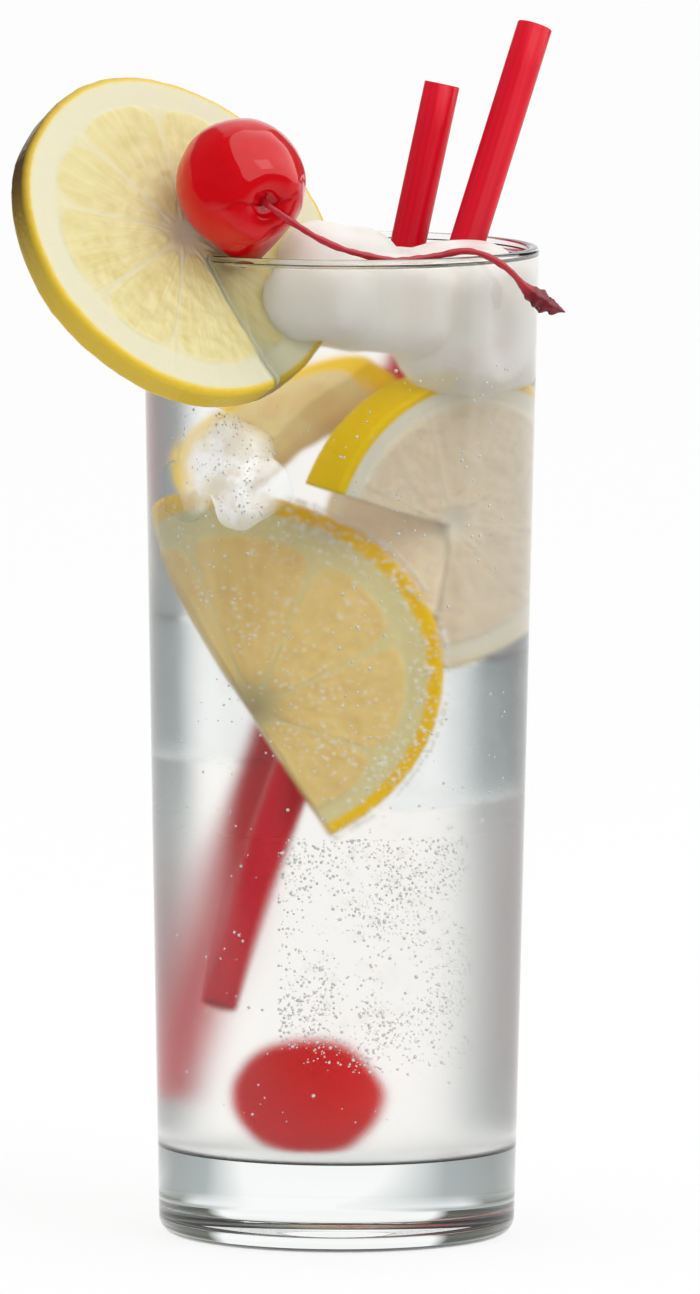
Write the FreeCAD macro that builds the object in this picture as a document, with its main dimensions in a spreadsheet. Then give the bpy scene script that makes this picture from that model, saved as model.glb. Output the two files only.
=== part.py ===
import FreeCAD, Part
import math
import os
import Sketcher

Vector = FreeCAD.Vector
Z_AXIS = Vector(0, 0, 1)

# A tall iced lemon drink in its straight tapered tumbler, with two straws, a slit lemon
# wheel hung on the rim, a stemmed cocktail cherry leaning on the wheel, and two blocks of
# ice that stand out of the drink.  Millimetres and degrees.  The origin is the middle of
# the foot, on the surface the glass stands on, +Z is up and -Y is the front.
#
# Places round the glass are given as azimuths: 0 is +X, 90 is the back, 270 is the front.

SIZES = {
    # tumbler
    "glass_height": 153.0,
    "rim_diameter": 61.0,
    "foot_diameter": 54.8,
    "wall_thickness": 1.6,
    "floor_thickness": 13.6,
    "heel_radius": 3.0,
    "floor_corner_radius": 2.5,
    "lip_radius": 0.7,
    "foot_ring_inner_radius": 16.0,
    "punt_depth": 1.5,
    # drink
    "drink_below_rim": 1.5,
    "soft_gap": 0.3,
    # straws
    "straw_diameter": 5.5,
    "straw_bore": 4.9,
    "straw_length": 160.0,
    "short_straw_rim_azimuth": 65.5,
    "short_straw_foot_azimuth": 145.0,
    "short_straw_foot_from_wall": 2.4,
    "short_straw_foot_lift": 6.5,
    "tall_straw_rim_azimuth": 39.6,
    "tall_straw_foot_azimuth": 220.5,
    "tall_straw_foot_from_wall": 2.0,
    "tall_straw_foot_lift": 23.6,
    # lemon wheel
    "wheel_diameter": 54.0,
    "wheel_thickness": 4.5,
    "wheel_edge_radius": 0.7,
    "wheel_azimuth": 221.4,
    "wheel_hub_above_rim": 3.1,
    "wheel_hub_outside_rim": 2.0,
    "wheel_lean": 32.8,
    "wheel_yaw": 6.4,
    "rim_slit_gap": 0.3,
    # cherry, against the wheel's face with its nose just over the drink
    "cherry_diameter": 20.0,
    "cherry_inward": 5.6,
    "cherry_nose_above_drink": 0.4,
    "cherry_nose_tilt": 10.0,
    "cherry_nose_drop": 2.4,
    "cherry_nose_radius": 1.9,
    "dimple_radius": 2.6,
    "dimple_azimuth": 297.5,
    "dimple_elevation": -16.5,
    # cherry stem
    "stem_diameter": 1.0,
    "stem_socket_depth": 2.4,
    "stem_bend_azimuth": 316.0,
    "stem_bend_elevation": -26.2,
    "stem_bend_from_cherry": 1.8,
    "stem_end_diameter": 2.6,
    "stem_end_swell_length": 4.2,
    "stem_end_tip_length": 3.8,
    # ice that stands out of the drink
    "middle_ice_width": 12.0,
    "middle_ice_depth": 12.0,
    "middle_ice_height": 16.0,
    "middle_ice_above_rim": 5.6,
    "middle_ice_azimuth": 266.0,
    "middle_ice_in_from_wall": 15.4,
    "middle_ice_turn": -8.0,
    "middle_ice_tilt": 13.0,
    "right_ice_width": 16.0,
    "right_ice_depth": 26.0,
    "right_ice_height": 21.0,
    "right_ice_above_rim": 1.5,
    "right_ice_azimuth": 346.5,
    "right_ice_in_from_wall": 12.7,
    "right_ice_turn": -6.0,
    "right_ice_tilt": 0.0,
    "ice_edge_radius": 3.5,
    "ice_from_wall": 1.2,
}

doc = FreeCAD.newDocument("TallLemonDrink")

sheet = doc.addObject("Spreadsheet::Sheet", "Sizes")
for row, (alias, value) in enumerate(SIZES.items(), start=1):
    sheet.set(f"A{row}", alias)
    sheet.set(f"B{row}", str(value))
    sheet.setAlias(f"B{row}", alias)
doc.recompute()


def size(alias):
    """Value of one named size, read back from the sheet."""
    return float(sheet.get(alias))


def bind(thing, prop, expression):
    """Bind a property of an object to an expression in the sheet's names."""
    thing.setExpression(prop, expression)


# --- forms worked out from the sizes ---------------------------------------------------

# Radius of the tumbler's outer and inner faces, as expressions of a height.
OUTER_RADIUS = (
    "(Sizes.foot_diameter + (Sizes.rim_diameter - Sizes.foot_diameter)"
    " * ({height}) / Sizes.glass_height) / 2"
)
INNER_RADIUS = OUTER_RADIUS + " - Sizes.wall_thickness"
DRINK_TOP = "(Sizes.glass_height - Sizes.drink_below_rim)"


def evaluate(expression):
    """Number that an expression in the sheet's names gives."""
    return float(sheet.evalExpression(expression))


def inner_radius(height):
    """Inner radius of the tumbler at a height."""
    return evaluate(INNER_RADIUS.format(height=height))


def around(azimuth, radius, height):
    """Point at an azimuth, a distance from the glass's axis and a height."""
    turn = math.radians(azimuth)
    return Vector(radius * math.cos(turn), radius * math.sin(turn), height)


def origin_feature(body, role):
    """Plane or axis of a body's own origin, found by its role."""
    return next(item for item in body.Origin.OriginFeatures if item.Role == role)


def new_sketch(body, name, role):
    """Empty sketch on one of the body's own origin planes."""
    sketch = body.newObject("Sketcher::SketchObject", name)
    sketch.AttachmentSupport = [(origin_feature(body, role), "")]
    sketch.MapMode = "FlatFace"
    return sketch


def pin_corner(sketch, line, across, up):
    """Hold the start of a line of an outline at two expressions, 0 being on an axis."""
    for kind, axis, expression in (("DistanceX", -2, across), ("DistanceY", -1, up)):
        if expression == "0":
            sketch.addConstraint(Sketcher.Constraint("PointOnObject", line, 1, axis))
            continue
        constraint = Sketcher.Constraint(kind, -1, 1, line, 1, evaluate(expression))
        index = sketch.addConstraint(constraint)
        bind(sketch, f"Constraints[{index}]", expression)


def revolved_body(name, corners, hollow_start=False):
    """Body turned about Z from a closed outline of corners (across, up), as expressions.

    With hollow_start the run from the first corner, on the axis, to the second one is an
    arc whose centre is on the axis.
    """
    body = doc.addObject("PartDesign::Body", name)
    sketch = new_sketch(body, f"{name}_outline", "XZ_Plane")
    points = [Vector(evaluate(across), evaluate(up), 0) for across, up in corners]
    count = len(points)
    for index, start in enumerate(points):
        end = points[(index + 1) % count]
        if hollow_start and index == 0:
            centre_height = (start.y**2 - end.x**2) / (2 * start.y)
            reach = start.y - centre_height
            circle = Part.Circle(Vector(0, centre_height, 0), Z_AXIS, reach)
            first = math.atan2(end.y - centre_height, end.x)
            sketch.addGeometry(Part.ArcOfCircle(circle, first, math.pi / 2))
        else:
            sketch.addGeometry(Part.LineSegment(start, end))
    for index in range(count):
        after = (index + 1) % count
        end_vertex = 1 if hollow_start and index == 0 else 2
        start_vertex = 2 if hollow_start and after == 0 else 1
        sketch.addConstraint(
            Sketcher.Constraint("Coincident", index, end_vertex, after, start_vertex)
        )
    if hollow_start:
        sketch.addConstraint(Sketcher.Constraint("PointOnObject", 0, 3, -2))
        sketch.addConstraint(Sketcher.Constraint("PointOnObject", 0, 2, -2))
        rise = sketch.addConstraint(
            Sketcher.Constraint("DistanceY", -1, 1, 0, 2, evaluate(corners[0][1]))
        )
        bind(sketch, f"Constraints[{rise}]", corners[0][1])
    for index, (across, up) in enumerate(corners):
        if not (hollow_start and index == 0):
            pin_corner(sketch, index, across, up)
    turned = body.newObject("PartDesign::Revolution", f"{name}_turned")
    turned.Profile = sketch
    turned.ReferenceAxis = (sketch, ["V_Axis"])
    turned.Angle = 360.0
    doc.recompute()
    return body


def circular_edges(shape, radius, height):
    """Names of the round edges of a shape at a radius and height."""
    names = []
    for number, edge in enumerate(shape.Edges, start=1):
        if edge.Degenerated or not isinstance(edge.Curve, Part.Circle):
            continue
        curve = edge.Curve
        if abs(curve.Radius - radius) < 1e-4 and abs(curve.Center.z - height) < 1e-4:
            names.append(f"Edge{number}")
    return names


def round_edge(body, radius_at, height, rounding):
    """Fillet the round edges of a body at a radius and height, by a named radius."""
    before = body.Tip
    edges = circular_edges(before.Shape, radius_at, height)
    fillet = body.newObject("PartDesign::Fillet", f"{body.Name}_{rounding}")
    fillet.Base = (before, edges)
    bind(fillet, "Radius", f"Sizes.{rounding}")
    body.Tip = fillet
    doc.recompute()


def build_glass():
    """Tumbler: thick solid foot with a shallow punt, straight tapered wall, round lip."""
    foot = "Sizes.foot_diameter / 2"
    rim = "Sizes.rim_diameter / 2"
    top = "Sizes.glass_height"
    floor = "Sizes.floor_thickness"
    corners = [
        ("0", "Sizes.punt_depth"),
        ("Sizes.foot_ring_inner_radius", "0"),
        (foot, "0"),
        (rim, top),
        (f"{rim} - Sizes.wall_thickness", top),
        (INNER_RADIUS.format(height=floor), floor),
        ("0", floor),
    ]
    body = revolved_body("glass", corners, hollow_start=True)
    round_edge(body, evaluate(foot), 0, "heel_radius")
    round_edge(body, inner_radius(floor), size("floor_thickness"), "floor_corner_radius")
    round_edge(body, evaluate(rim), size("glass_height"), "lip_radius")
    inside_rim = evaluate(rim) - size("wall_thickness")
    round_edge(body, inside_rim, size("glass_height"), "lip_radius")
    return body


def build_fill():
    """What would fill the tumbler to the drink's level, with nothing standing in it."""
    floor = "Sizes.floor_thickness"
    corners = [
        ("0", floor),
        (INNER_RADIUS.format(height=floor) + " - Sizes.soft_gap", floor),
        (INNER_RADIUS.format(height=DRINK_TOP) + " - Sizes.soft_gap", DRINK_TOP),
        ("0", DRINK_TOP),
    ]
    body = revolved_body("drink_fill", corners)
    corner = inner_radius(floor) - size("soft_gap")
    round_edge(body, corner, size("floor_thickness"), "floor_corner_radius")
    return body


def axis_placement(base, direction):
    """Placement that puts an object's Z along a direction."""
    return FreeCAD.Placement(base, FreeCAD.Rotation(Z_AXIS, direction))


def straw_line(name):
    """Lower end and direction of a straw, which leans on the inside of the rim."""
    half = size("straw_diameter") / 2
    foot_height = size("floor_thickness") + size(f"{name}_straw_foot_lift")
    foot_reach = inner_radius(foot_height) - half - size(f"{name}_straw_foot_from_wall")
    rim_reach = inner_radius("Sizes.glass_height") - half - size("soft_gap")
    foot = around(size(f"{name}_straw_foot_azimuth"), foot_reach, foot_height)
    top = size("glass_height")
    lean = around(size(f"{name}_straw_rim_azimuth"), rim_reach, top)
    slope = (lean - foot).normalize().getAngle(Z_AXIS)
    rim_reach = rim_reach - half * (1 / math.cos(slope) - 1)
    lean = around(size(f"{name}_straw_rim_azimuth"), rim_reach, top)
    return foot, (lean - foot).normalize()


def build_straw(name):
    """Straw: a thin-walled tube, and the way clear of it that other pieces leave."""
    foot, direction = straw_line(name)
    body = doc.addObject("PartDesign::Body", f"straw_{name}")
    sketch = new_sketch(body, f"straw_{name}_section", "XY_Plane")
    for alias in ("straw_diameter", "straw_bore"):
        circle = Part.Circle(Vector(0, 0, 0), Z_AXIS, size(alias) / 2)
        ring = sketch.addGeometry(circle)
        sketch.addConstraint(Sketcher.Constraint("Coincident", ring, 3, -1, 1))
        index = sketch.addConstraint(Sketcher.Constraint("Diameter", ring, size(alias)))
        bind(sketch, f"Constraints[{index}]", f"Sizes.{alias}")
    pad = body.newObject("PartDesign::Pad", f"straw_{name}_tube")
    pad.Profile = sketch
    bind(pad, "Length", "Sizes.straw_length")
    body.Placement = axis_placement(foot, direction)

    way = doc.addObject("Part::Cylinder", f"straw_{name}_way")
    bind(way, "Radius", "Sizes.straw_diameter / 2 + Sizes.soft_gap")
    bind(way, "Height", "Sizes.straw_length + 2 * Sizes.soft_gap")
    way.Placement = axis_placement(foot - direction * size("soft_gap"), direction)
    return body, way


class WheelFrame:
    """Where the lemon wheel hangs: its face's centre and three directions."""

    def __init__(self):
        azimuth = size("wheel_azimuth")
        outward = around(azimuth, 1, 0)
        along = around(azimuth + 90, 1, 0)
        lean = math.radians(size("wheel_lean"))
        yaw = math.radians(size("wheel_yaw"))
        level = along * math.cos(yaw) + outward * math.sin(yaw)
        self.normal = level * math.cos(lean) + Z_AXIS * math.sin(lean)
        self.down = (along * math.sin(lean) - Z_AXIS * math.cos(lean)).normalize()
        self.down = self.down - self.normal * self.down.dot(self.normal)
        self.down.normalize()
        self.inward = self.normal.cross(self.down)
        wall_middle = (size("rim_diameter") - size("wall_thickness")) / 2
        height = size("glass_height") + size("wheel_hub_above_rim")
        reach = wall_middle + size("wheel_hub_outside_rim")
        self.hub = around(azimuth, reach, height)

    def disc_placement(self, depth):
        """Placement of a disc along Z whose top is the wheel's face, depth below it."""
        return axis_placement(self.hub - self.normal * depth, self.normal)


def build_lemon_wheel(frame):
    """Lemon wheel: a disc slit by the glass's wall."""
    body = doc.addObject("PartDesign::Body", "lemon_disc")
    sketch = new_sketch(body, "lemon_disc_outline", "XY_Plane")
    radius = size("wheel_diameter") / 2
    ring = sketch.addGeometry(Part.Circle(Vector(0, 0, 0), Z_AXIS, radius))
    sketch.addConstraint(Sketcher.Constraint("Coincident", ring, 3, -1, 1))
    index = sketch.addConstraint(Sketcher.Constraint("Diameter", ring, 2 * radius))
    bind(sketch, f"Constraints[{index}]", "Sizes.wheel_diameter")
    pad = body.newObject("PartDesign::Pad", "lemon_disc_slice")
    pad.Profile = sketch
    bind(pad, "Length", "Sizes.wheel_thickness")
    doc.recompute()
    for height in (size("wheel_thickness"), 0):
        round_edge(body, radius, height, "wheel_edge_radius")
    body.Placement = frame.disc_placement(size("wheel_thickness"))

    slot_outside = doc.addObject("Part::Cone", "wall_slot_outside")
    slot_inside = doc.addObject("Part::Cone", "wall_slot_inside")
    top = "(Sizes.glass_height + Sizes.rim_slit_gap)"
    foot_face = OUTER_RADIUS.format(height="0")
    for cone, shift in ((slot_outside, "+"), (slot_inside, "- Sizes.wall_thickness -")):
        bind(cone, "Radius1", f"{foot_face} {shift} Sizes.rim_slit_gap")
        face = OUTER_RADIUS.format(height=top)
        bind(cone, "Radius2", f"{face} {shift} Sizes.rim_slit_gap")
        bind(cone, "Height", top)
    slot = doc.addObject("Part::Cut", "wall_slot")
    slot.Base = slot_outside
    slot.Tool = slot_inside

    wheel = doc.addObject("Part::Cut", "lemon_wheel")
    wheel.Base = body
    wheel.Tool = slot
    return wheel


def build_wheel_room(frame, name, behind):
    """Room the wheel keeps clear, from just over its face to a stated depth behind."""
    room = doc.addObject("Part::Cylinder", name)
    bind(room, "Radius", "Sizes.wheel_diameter / 2 + Sizes.soft_gap")
    bind(room, "Height", f"{behind} + 2 * Sizes.soft_gap")
    room.Placement = frame.disc_placement(evaluate(behind) + size("soft_gap"))
    return room


def cherry_nose_depth():
    """Depth of the middle of the nose's round tip below the middle of the ball."""
    below = size("cherry_diameter") / 2 + size("cherry_nose_drop")
    return below - size("cherry_nose_radius")


def cherry_placement(frame):
    """Where the cherry leans: on the wheel's face, its nose low and turned inward."""
    centre = frame.hub + frame.inward * size("cherry_inward")
    out = size("cherry_diameter") / 2 + size("soft_gap")
    centre = centre + frame.normal * out
    tilt = math.radians(size("cherry_nose_tilt"))
    height = evaluate(DRINK_TOP) + size("cherry_nose_above_drink")
    height += size("cherry_nose_radius") + cherry_nose_depth() * math.cos(tilt)
    centre = centre + frame.down * ((height - centre.z) / frame.down.z)
    inward = Vector(-centre.x, -centre.y, 0).normalize()
    nose = inward * math.sin(tilt) - Z_AXIS * math.cos(tilt)
    return FreeCAD.Placement(centre, FreeCAD.Rotation(-Z_AXIS, nose))


def build_cherry(frame):
    """Cherry: a ball drawn out to a blunt nose below, dimpled where its stem goes in."""
    place = cherry_placement(frame)
    elevation = math.radians(size("dimple_elevation"))
    outward = around(size("dimple_azimuth"), math.cos(elevation), math.sin(elevation))
    dimple = place.Rotation.inverted().multVec(outward)
    half = size("cherry_diameter") / 2

    ball = doc.addObject("Part::Sphere", "cherry_ball")
    bind(ball, "Radius", "Sizes.cherry_diameter / 2")
    nose = doc.addObject("Part::Cone", "cherry_nose")
    # the cone touches the ball and the tip along their common tangent
    slope = math.asin((half - size("cherry_nose_radius")) / cherry_nose_depth())
    tip_end = cherry_nose_depth() + size("cherry_nose_radius") * math.sin(slope)
    nose.Radius1 = size("cherry_nose_radius") * math.cos(slope)
    nose.Radius2 = half * math.cos(slope)
    nose.Height = tip_end - half * math.sin(slope)
    nose.Placement.Base = Vector(0, 0, -tip_end)
    tip = doc.addObject("Part::Sphere", "cherry_tip")
    bind(tip, "Radius", "Sizes.cherry_nose_radius")
    tip.Placement.Base = Vector(0, 0, -cherry_nose_depth())
    flesh = doc.addObject("Part::MultiFuse", "cherry_flesh")
    flesh.Shapes = [ball, nose, tip]

    hollow = doc.addObject("Part::Sphere", "cherry_dimple")
    bind(hollow, "Radius", "Sizes.dimple_radius")
    hollow.Placement.Base = dimple * (half + size("dimple_radius") / 3)
    socket = doc.addObject("Part::Cylinder", "cherry_socket")
    bind(socket, "Radius", "Sizes.stem_diameter / 2 + Sizes.soft_gap / 2")
    bind(socket, "Height", "Sizes.cherry_diameter")
    socket_floor = half - size("dimple_radius") * 2 / 3 - size("stem_socket_depth")
    socket.Placement = axis_placement(dimple * socket_floor, dimple)
    tools = doc.addObject("Part::MultiFuse", "cherry_hollows")
    tools.Shapes = [hollow, socket]

    cherry = doc.addObject("Part::Cut", "cherry")
    cherry.Base = flesh
    cherry.Tool = tools
    cherry.Placement = place
    stem_start = place.Base + outward * socket_floor
    return cherry, stem_start, outward


# The stem's run after its bend beside the cherry: azimuth, distance outside the middle
# of the rim's wall and height above the rim.  It comes down to the front of the rim, lies along
# it, crosses it at the right and droops outside the glass.
STEM_ROUTE = [
    (264.0, 1.0, 3.2),
    (272.8, -1.0, 1.2),
    (287.4, -1.9, -0.3),
    (301.5, -1.9, 0.2),
    (309.6, 0.1, 0.9),
    (314.5, 2.2, 0.1),
    (321.0, 3.4, -2.2),
    (327.5, 3.7, -5.0),
]
STEM_END_DROOP = (0.74, 0.22, -0.64)


def rounded_path(points):
    """Wire of straight runs through points, joined by the largest tangent arcs."""
    edges = []
    run_start = points[0]
    for before, corner, after in zip(points, points[1:], points[2:]):
        back = before - corner
        onward = after - corner
        setback = 0.45 * min(back.Length, onward.Length)
        back.normalize()
        onward.normalize()
        arc_start = corner + back * setback
        arc_end = corner + onward * setback
        half_angle = back.getAngle(onward) / 2
        bisector = (back + onward).normalize()
        centre_distance = setback / math.cos(half_angle)
        radius = setback * math.tan(half_angle)
        arc_middle = corner + bisector * (centre_distance - radius)
        edges.append(Part.LineSegment(run_start, arc_start).toShape())
        edges.append(Part.Arc(arc_start, arc_middle, arc_end).toShape())
        run_start = arc_end
    edges.append(Part.LineSegment(run_start, points[-1]).toShape())
    return Part.Wire(edges)


def build_stem(cherry_centre, start, direction):
    """Cherry stem: a thin bent stalk that ends in a swollen woody knot."""
    radius = size("stem_diameter") / 2
    rim_middle = (size("rim_diameter") - size("wall_thickness")) / 2
    top = size("glass_height")
    leaving = start + direction * (size("stem_socket_depth") + size("dimple_radius"))
    reach = size("cherry_diameter") / 2 + size("stem_bend_from_cherry")
    elevation = math.radians(size("stem_bend_elevation"))
    bend = around(
        size("stem_bend_azimuth"), reach * math.cos(elevation), reach * math.sin(elevation)
    )
    route = [start, leaving, cherry_centre + bend]
    for azimuth, outside, above in STEM_ROUTE:
        route.append(around(azimuth, rim_middle + outside, top + above))
    path = rounded_path(route)
    section = Part.Wire(Part.Circle(start, direction, radius).toShape())
    stalk = path.makePipeShell([section], True, True)

    droop = Vector(*STEM_END_DROOP).normalize()
    end = route[-1]
    last_run = (end - route[-2]).normalize()
    knot_radius = size("stem_end_diameter") / 2
    swell = size("stem_end_swell_length")
    widest = end + droop * swell
    pieces = [
        Part.makeCone(radius, knot_radius, swell, end, droop),
        Part.makeSphere(radius, end),
        Part.makeSphere(knot_radius, widest),
        Part.makeCone(knot_radius, radius, size("stem_end_tip_length"), widest, last_run),
    ]
    stem = doc.addObject("Part::Feature", "cherry_stem")
    stem.Shape = stalk.multiFuse(pieces).removeSplitter()
    return stem


def ice_block(name, centre, turn, grown=""):
    """Block of melted-round ice, or with grown the room it needs, before any trimming."""
    label = f"{name}_ice_{'room' if grown else 'block'}"
    box = doc.addObject("Part::Box", f"{label}_square")
    sides = []
    for prop, alias in (("Length", "width"), ("Width", "depth"), ("Height", "height")):
        bind(box, prop, f"Sizes.{name}_ice_{alias}{grown}")
        sides.append(evaluate(f"Sizes.{name}_ice_{alias}{grown}"))
    doc.recompute()
    rounded = doc.addObject("Part::Fillet", label)
    rounded.Base = box
    radius = size("ice_edge_radius")
    rounded.Edges = [(number, radius, radius) for number in range(1, 13)]
    corner = turn.multVec(Vector(*sides) * 0.5)
    rounded.Placement = FreeCAD.Placement(centre - corner, turn)
    return rounded


def build_ice(name, ways, space):
    """Ice block kept off the wall and off what stands beside it, and its room."""
    middle = size("glass_height") + size(f"{name}_ice_above_rim")
    middle -= size(f"{name}_ice_height") / 2
    reach = inner_radius("Sizes.glass_height") - size(f"{name}_ice_in_from_wall")
    centre = around(size(f"{name}_ice_azimuth"), reach, middle)
    turn = FreeCAD.Rotation(size(f"{name}_ice_turn"), size(f"{name}_ice_tilt"), 0)
    block = ice_block(name, centre, turn)
    room = ice_block(name, centre, turn, " + 2 * Sizes.soft_gap")

    within = doc.addObject("Part::Common", f"{name}_ice_within")
    within.Base = block
    within.Tool = space
    ice = doc.addObject("Part::Cut", f"ice_{name}")
    ice.Base = within
    ice.Tool = ways
    return ice, room


def build_ice_space():
    """Space inside the glass, and straight up from it, that ice may take."""
    cone = doc.addObject("Part::Cone", "ice_space")
    floor = "Sizes.floor_thickness"
    above = "(Sizes.glass_height + Sizes.middle_ice_height)"
    face = INNER_RADIUS.format(height=floor)
    bind(cone, "Radius1", f"{face} - Sizes.ice_from_wall")
    face = INNER_RADIUS.format(height=above)
    bind(cone, "Radius2", f"{face} - Sizes.ice_from_wall")
    bind(cone, "Height", f"{above} - {floor}")
    cone.Placement.Base = Vector(0, 0, size("floor_thickness"))
    return cone


def build_drink(fill, rooms):
    """Drink: the fill, cut round everything that stands in it."""
    everything = doc.addObject("Part::MultiFuse", "standing_in_drink")
    everything.Shapes = rooms
    drink = doc.addObject("Part::Cut", "drink")
    drink.Base = fill
    drink.Tool = everything
    return drink


def build_all():
    """Build every piece, in the order in which they rest on each other."""
    glass = build_glass()
    fill = build_fill()
    short_straw, short_way = build_straw("short")
    tall_straw, tall_way = build_straw("tall")
    frame = WheelFrame()
    wheel = build_lemon_wheel(frame)
    wheel_room = build_wheel_room(frame, "wheel_room", "Sizes.wheel_thickness")
    back_room = build_wheel_room(frame, "wheel_back_room", "Sizes.wheel_diameter")
    cherry, stem_start, dimple = build_cherry(frame)
    stem = build_stem(cherry.Placement.Base, stem_start, dimple)

    ways = doc.addObject("Part::MultiFuse", "ways_past_ice")
    ways.Shapes = [short_way, tall_way, back_room]
    space = build_ice_space()
    middle_ice, middle_room = build_ice("middle", ways, space)
    right_ice, right_room = build_ice("right", ways, space)
    rooms = [short_way, tall_way, wheel_room, middle_room, right_room]
    drink = build_drink(fill, rooms)
    doc.recompute()
    return [
        glass, drink, short_straw, tall_straw, wheel, cherry, stem, middle_ice, right_ice
    ]


pieces = build_all()

for item in doc.Objects:
    if "Invalid" in item.State or "Error" in item.State:
        raise RuntimeError(f"{item.Label} did not build: {item.State}")
for piece in pieces:
    shape = piece.Shape
    if shape.isNull() or not shape.isValid():
        raise RuntimeError(f"{piece.Label} has no valid shape")
    if len(shape.Solids) != 1:
        raise RuntimeError(f"{piece.Label} is {len(shape.Solids)} solids, not one")

os.makedirs("parts", exist_ok=True)
for piece in pieces:
    piece.Shape.exportStep(f"parts/{piece.Label}.step")
    print(f"{piece.Label}: {piece.Shape.Volume / 1000:.2f} ml, box {piece.Shape.BoundBox}")
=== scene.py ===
"""Looks of a tall iced lemon drink: tumbler, drink, lemon, cherries, straws and ice."""

import logging
import math
from dataclasses import dataclass, field, replace
from enum import Enum
from functools import partial
from typing import Callable, Sequence

import bmesh
import bpy
import numpy as np
from mathutils import Matrix, Vector
from mathutils import noise as lump_noise


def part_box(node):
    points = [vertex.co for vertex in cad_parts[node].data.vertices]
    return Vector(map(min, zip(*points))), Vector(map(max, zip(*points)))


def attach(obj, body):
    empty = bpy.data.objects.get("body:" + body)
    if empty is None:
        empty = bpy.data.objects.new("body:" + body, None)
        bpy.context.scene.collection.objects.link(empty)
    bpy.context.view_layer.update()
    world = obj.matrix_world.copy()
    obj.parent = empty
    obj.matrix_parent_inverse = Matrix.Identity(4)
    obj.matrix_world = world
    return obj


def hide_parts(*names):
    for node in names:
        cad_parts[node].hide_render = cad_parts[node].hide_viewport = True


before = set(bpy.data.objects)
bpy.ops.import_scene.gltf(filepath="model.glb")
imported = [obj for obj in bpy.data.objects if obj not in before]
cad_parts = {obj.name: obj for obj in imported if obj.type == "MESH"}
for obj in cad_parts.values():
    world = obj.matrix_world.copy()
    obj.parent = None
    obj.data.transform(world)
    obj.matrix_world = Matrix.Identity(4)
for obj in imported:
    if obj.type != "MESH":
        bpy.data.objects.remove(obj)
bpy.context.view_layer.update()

log = logging.getLogger("drink")

MM = 0.001
BODY = "root"
WATER_IOR, GLASS_IOR, ICE_IOR = 1.333, 1.52, 1.31
# Index of half-melted ice against the water round it: near 1, which hides its outline.
MELTING_IOR = 0.996
FULL_TURN = 2 * math.pi
# Distances in metres under which points are the same, and edges have no length.
DOUBLED, DEGENERATE = 2e-6, 1e-7
SMOOTH = {"interpolation_type": "SMOOTHSTEP"}
COLOURS = {"data_type": "RGBA"}
WHITE = (1.0, 1.0, 1.0, 1.0)

Array = np.ndarray
Point = tuple[float, float, float]
Pair = tuple[float, float]
Stops = tuple[tuple[float, str], ...]
Tree, Socket = bpy.types.NodeTree, bpy.types.NodeSocket
Material, Mesh, Piece = bpy.types.Material, bpy.types.Mesh, bpy.types.Object
Node = bpy.types.Node
Adder = Callable[..., Node]
Outputs = dict[str, Node]


class Slot(Enum):
    """Material slots of the record."""

    GLASS = "glass"
    DRINK = "drink"
    STRAW = "straw"
    LEMON = "lemon"
    CHERRY = "cherry"
    STEM = "stem"
    ICE = "ice"


# ---- small helpers


def linear(hex_colour: str) -> tuple[float, float, float, float]:
    """Turn an sRGB hex colour into linear RGBA.

    Args:
        hex_colour: Colour as "#RRGGBB".

    Returns:
        Linear red, green and blue, and an alpha of 1.
    """
    parts = [int(hex_colour[i : i + 2], 16) / 255 for i in (1, 3, 5)]
    flat = [c / 12.92 if c <= 0.04045 else ((c + 0.055) / 1.055) ** 2.4 for c in parts]
    return (flat[0], flat[1], flat[2], 1.0)


def add_node(tree: Tree, kind: str, inputs: dict | None = None,
    settings: dict | None = None) -> Node:
    """Add a node to a tree with its settings, input values and links.

    Args:
        tree: Node tree that gets the node.
        kind: Node type; "ShaderNode" goes in front where it doesn't say "Node".
        inputs: Values, or sockets or nodes to link, by input name or number.
        settings: Properties of the node by name.

    Returns:
        The new node.
    """
    node = tree.nodes.new(kind if "Node" in kind else f"ShaderNode{kind}")
    for name, value in (settings or {}).items():
        setattr(node, name, value)
    for key, value in (inputs or {}).items():
        if isinstance(value, Node):
            value = value.outputs[0]
        if isinstance(value, Socket):
            tree.links.new(value, node.inputs[key])
        else:
            node.inputs[key].default_value = value
    return node


def in_scene(name: str, data: bpy.types.ID) -> Piece:
    """Put data in the scene.

    Args:
        name: Name of the object.
        data: Mesh or lamp.

    Returns:
        The new object.
    """
    piece = bpy.data.objects.new(name, data)
    bpy.context.scene.collection.objects.link(piece)
    return piece


def baked(piece: Piece, name: str) -> Mesh:
    """Turn a piece with live modifiers into a plain mesh, and remove the piece.

    Args:
        piece: Object with modifiers.
        name: Name of the mesh.

    Returns:
        The new mesh.
    """
    graph = bpy.context.evaluated_depsgraph_get()
    mesh = bpy.data.meshes.new_from_object(piece.evaluated_get(graph))
    mesh.name = name
    bpy.data.objects.remove(piece)
    return mesh


def azimuth_point(azimuth: float, radius: float, height: float) -> Array:
    """Point at an azimuth in degrees, a distance from the axis and a height, in mm."""
    turn = math.radians(azimuth)
    return np.array([radius * math.cos(turn), radius * math.sin(turn), height])


def unit(vector: Sequence[float]) -> Array:
    """Vector of length 1 in the same direction."""
    array = np.asarray(vector, float)
    return array / np.linalg.norm(array)


def turns_of(steps: int) -> Array:
    """Even angles once round, in radians."""
    return np.arange(steps) * FULL_TURN / steps


def circle(turns: Array, side: Array, across: Array) -> Array:
    """Directions round a circle that starts at side and turns toward across."""
    return np.cos(turns)[:, None] * side + np.sin(turns)[:, None] * across


def ease(low: float, high: float, value: Array) -> Array:
    """Smooth step of a value, from 0 at low to 1 at high."""
    share = np.clip((value - low) / (high - low), 0.0, 1.0)
    return share * share * (3 - 2 * share)


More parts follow.
